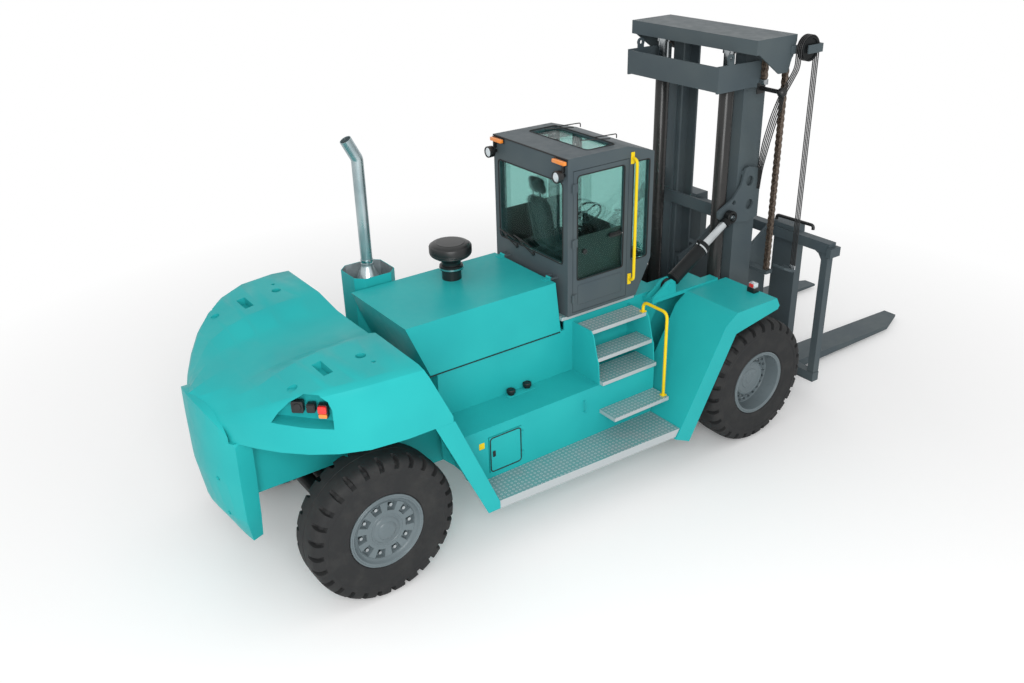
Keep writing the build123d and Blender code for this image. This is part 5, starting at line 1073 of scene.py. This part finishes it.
class FORKLIFT_OT_stage(bpy.types.Operator):
    """Lays a pale floor, hangs one large soft light and sets up the photograph's camera"""
    bl_idname = "forklift.stage"
    bl_label = "Stage"

    def execute(self, context):
        settings, scene = context.scene.forklift, context.scene
        scene.view_settings.view_transform = "Standard"
        white = linear("#FFFFFF")
        material, tree, shader, place = start_material("Pale Studio Floor")
        set_inputs(tree, shader, Base_Color=linear("#FAFAFA"), Roughness=0.9, Specular_IOR_Level=0.1)
        values = {0: place, 1: (-1.0, 0.0, 0.0)}
        middle = add_node(tree, "ShaderNodeVectorMath", values, operation="DISTANCE").outputs["Value"]
        ray = add_node(tree, "ShaderNodeLightPath").outputs["Is Camera Ray"]
        fade = combine(tree, "MULTIPLY", ramp(tree, middle, 4.8, 9.0), ray)
        glow = add_node(tree, "ShaderNodeEmission", {"Color": white, "Strength": 1.0}).outputs[0]
        faint = combine(tree, "MULTIPLY", ray, 0.08)
        lift = add_node(tree, "ShaderNodeEmission", {"Color": white, "Strength": faint}).outputs[0]
        lit = add_node(tree, "ShaderNodeAddShader", {0: shader.outputs[0], 1: lift}).outputs[0]
        both = add_node(tree, "ShaderNodeMixShader", {0: fade, 1: lit, 2: glow}).outputs[0]
        tree.links.new(both, tree.nodes["Material Output"].inputs[0])
        side = 60.0
        mesh = bpy.data.meshes.new("studio_floor")
        corners = np.array([(-side, -side, 0), (side, -side, 0), (side, side, 0), (-side, side, 0)])
        mesh.from_pydata((corners - (0, 0, 0.001)).tolist(), [], [(0, 1, 2, 3)])
        floor = bpy.data.objects.new("studio_floor", mesh)
        mesh.materials.append(material)
        scene.collection.objects.link(floor)

        world = bpy.data.worlds.new("Studio")
        scene.world = world
        world.use_nodes = True
        tree = world.node_tree
        tree.nodes.clear()
        path = add_node(tree, "ShaderNodeLightPath").outputs
        seen = combine(tree, "MAXIMUM", path["Is Camera Ray"], path["Is Transmission Ray"])
        shiny = combine(tree, "MAXIMUM", seen, path["Is Glossy Ray"])
        strength = ramp(tree, shiny, 0.0, 1.0, 0.72, 1.0)
        sky = add_node(tree, "ShaderNodeBackground", {"Color": white, "Strength": strength})
        output = add_node(tree, "ShaderNodeOutputWorld")
        tree.links.new(sky.outputs[0], output.inputs[0])

        lamp = bpy.data.lights.new("key_light", "AREA")
        lamp.size = 7.0
        lamp.energy = settings.key_power
        item = bpy.data.objects.new("key_light", lamp)
        spot, aim = Vector((-8.5, -11.0, 7.5)), Vector((-1.0, 0, 1.0))
        item.location = spot
        item.rotation_euler = (aim - spot).to_track_quat("-Z", "Y").to_euler()
        scene.collection.objects.link(item)

        heading, tilt, roll = math.radians(34.86), math.radians(26.53), math.radians(-1.5)
        level_way = (math.sin(heading) * math.cos(tilt), math.cos(heading) * math.cos(tilt))
        forward = Vector((*level_way, -math.sin(tilt)))
        level = forward.cross(Vector((0, 0, 1))).normalized()
        upright = level.cross(forward)
        right = level * math.cos(roll) + upright * math.sin(roll)
        up = upright * math.cos(roll) - level * math.sin(roll)
        turn = Matrix((right, up, -forward)).transposed().to_4x4()
        camera = bpy.data.cameras.new("photo_camera")
        camera.sensor_width = 36.0
        camera.lens = settings.lens
        camera.clip_end = 200.0
        item = bpy.data.objects.new("photo_camera", camera)
        item.matrix_world = Matrix.Translation((-7.009, -8.003, 6.279)) @ turn
        scene.collection.objects.link(item)
        scene.camera = item
        return {"FINISHED"}


OPERATORS = (
    FORKLIFT_OT_finishes, FORKLIFT_OT_wheels, FORKLIFT_OT_mast, FORKLIFT_OT_hoses, FORKLIFT_OT_deck,
    FORKLIFT_OT_lamps, FORKLIFT_OT_cab, FORKLIFT_OT_seat, FORKLIFT_OT_stage,
)


class FORKLIFT_PT_panel(bpy.types.Panel):
    """Lists the dressing steps in the sidebar"""
    bl_idname = "FORKLIFT_PT_panel"
    bl_label = "Forklift"
    bl_space_type = "VIEW_3D"
    bl_region_type = "UI"
    bl_category = "Forklift"

    def draw(self, context):
        for name in ("body_colour", "grey_colour", "edge_round", "lens", "key_power"):
            self.layout.prop(context.scene.forklift, name)
        for operator in OPERATORS:
            self.layout.operator(operator.bl_idname)


CLASSES = (ForkliftSettings, *OPERATORS, FORKLIFT_PT_panel)


def register():
    """Registers the classes and hangs the settings on the scene."""
    for item in CLASSES:
        bpy.utils.register_class(item)
    bpy.types.Scene.forklift = bpy.props.PointerProperty(type=ForkliftSettings)


def unregister():
    """Takes the settings and the classes away again."""
    del bpy.types.Scene.forklift
    for item in reversed(CLASSES):
        bpy.utils.unregister_class(item)


def main():
    register()
    for operator in OPERATORS:
        getattr(bpy.ops.forklift, operator.bl_idname.split(".")[1])()


if __name__ == "__main__":
    main()
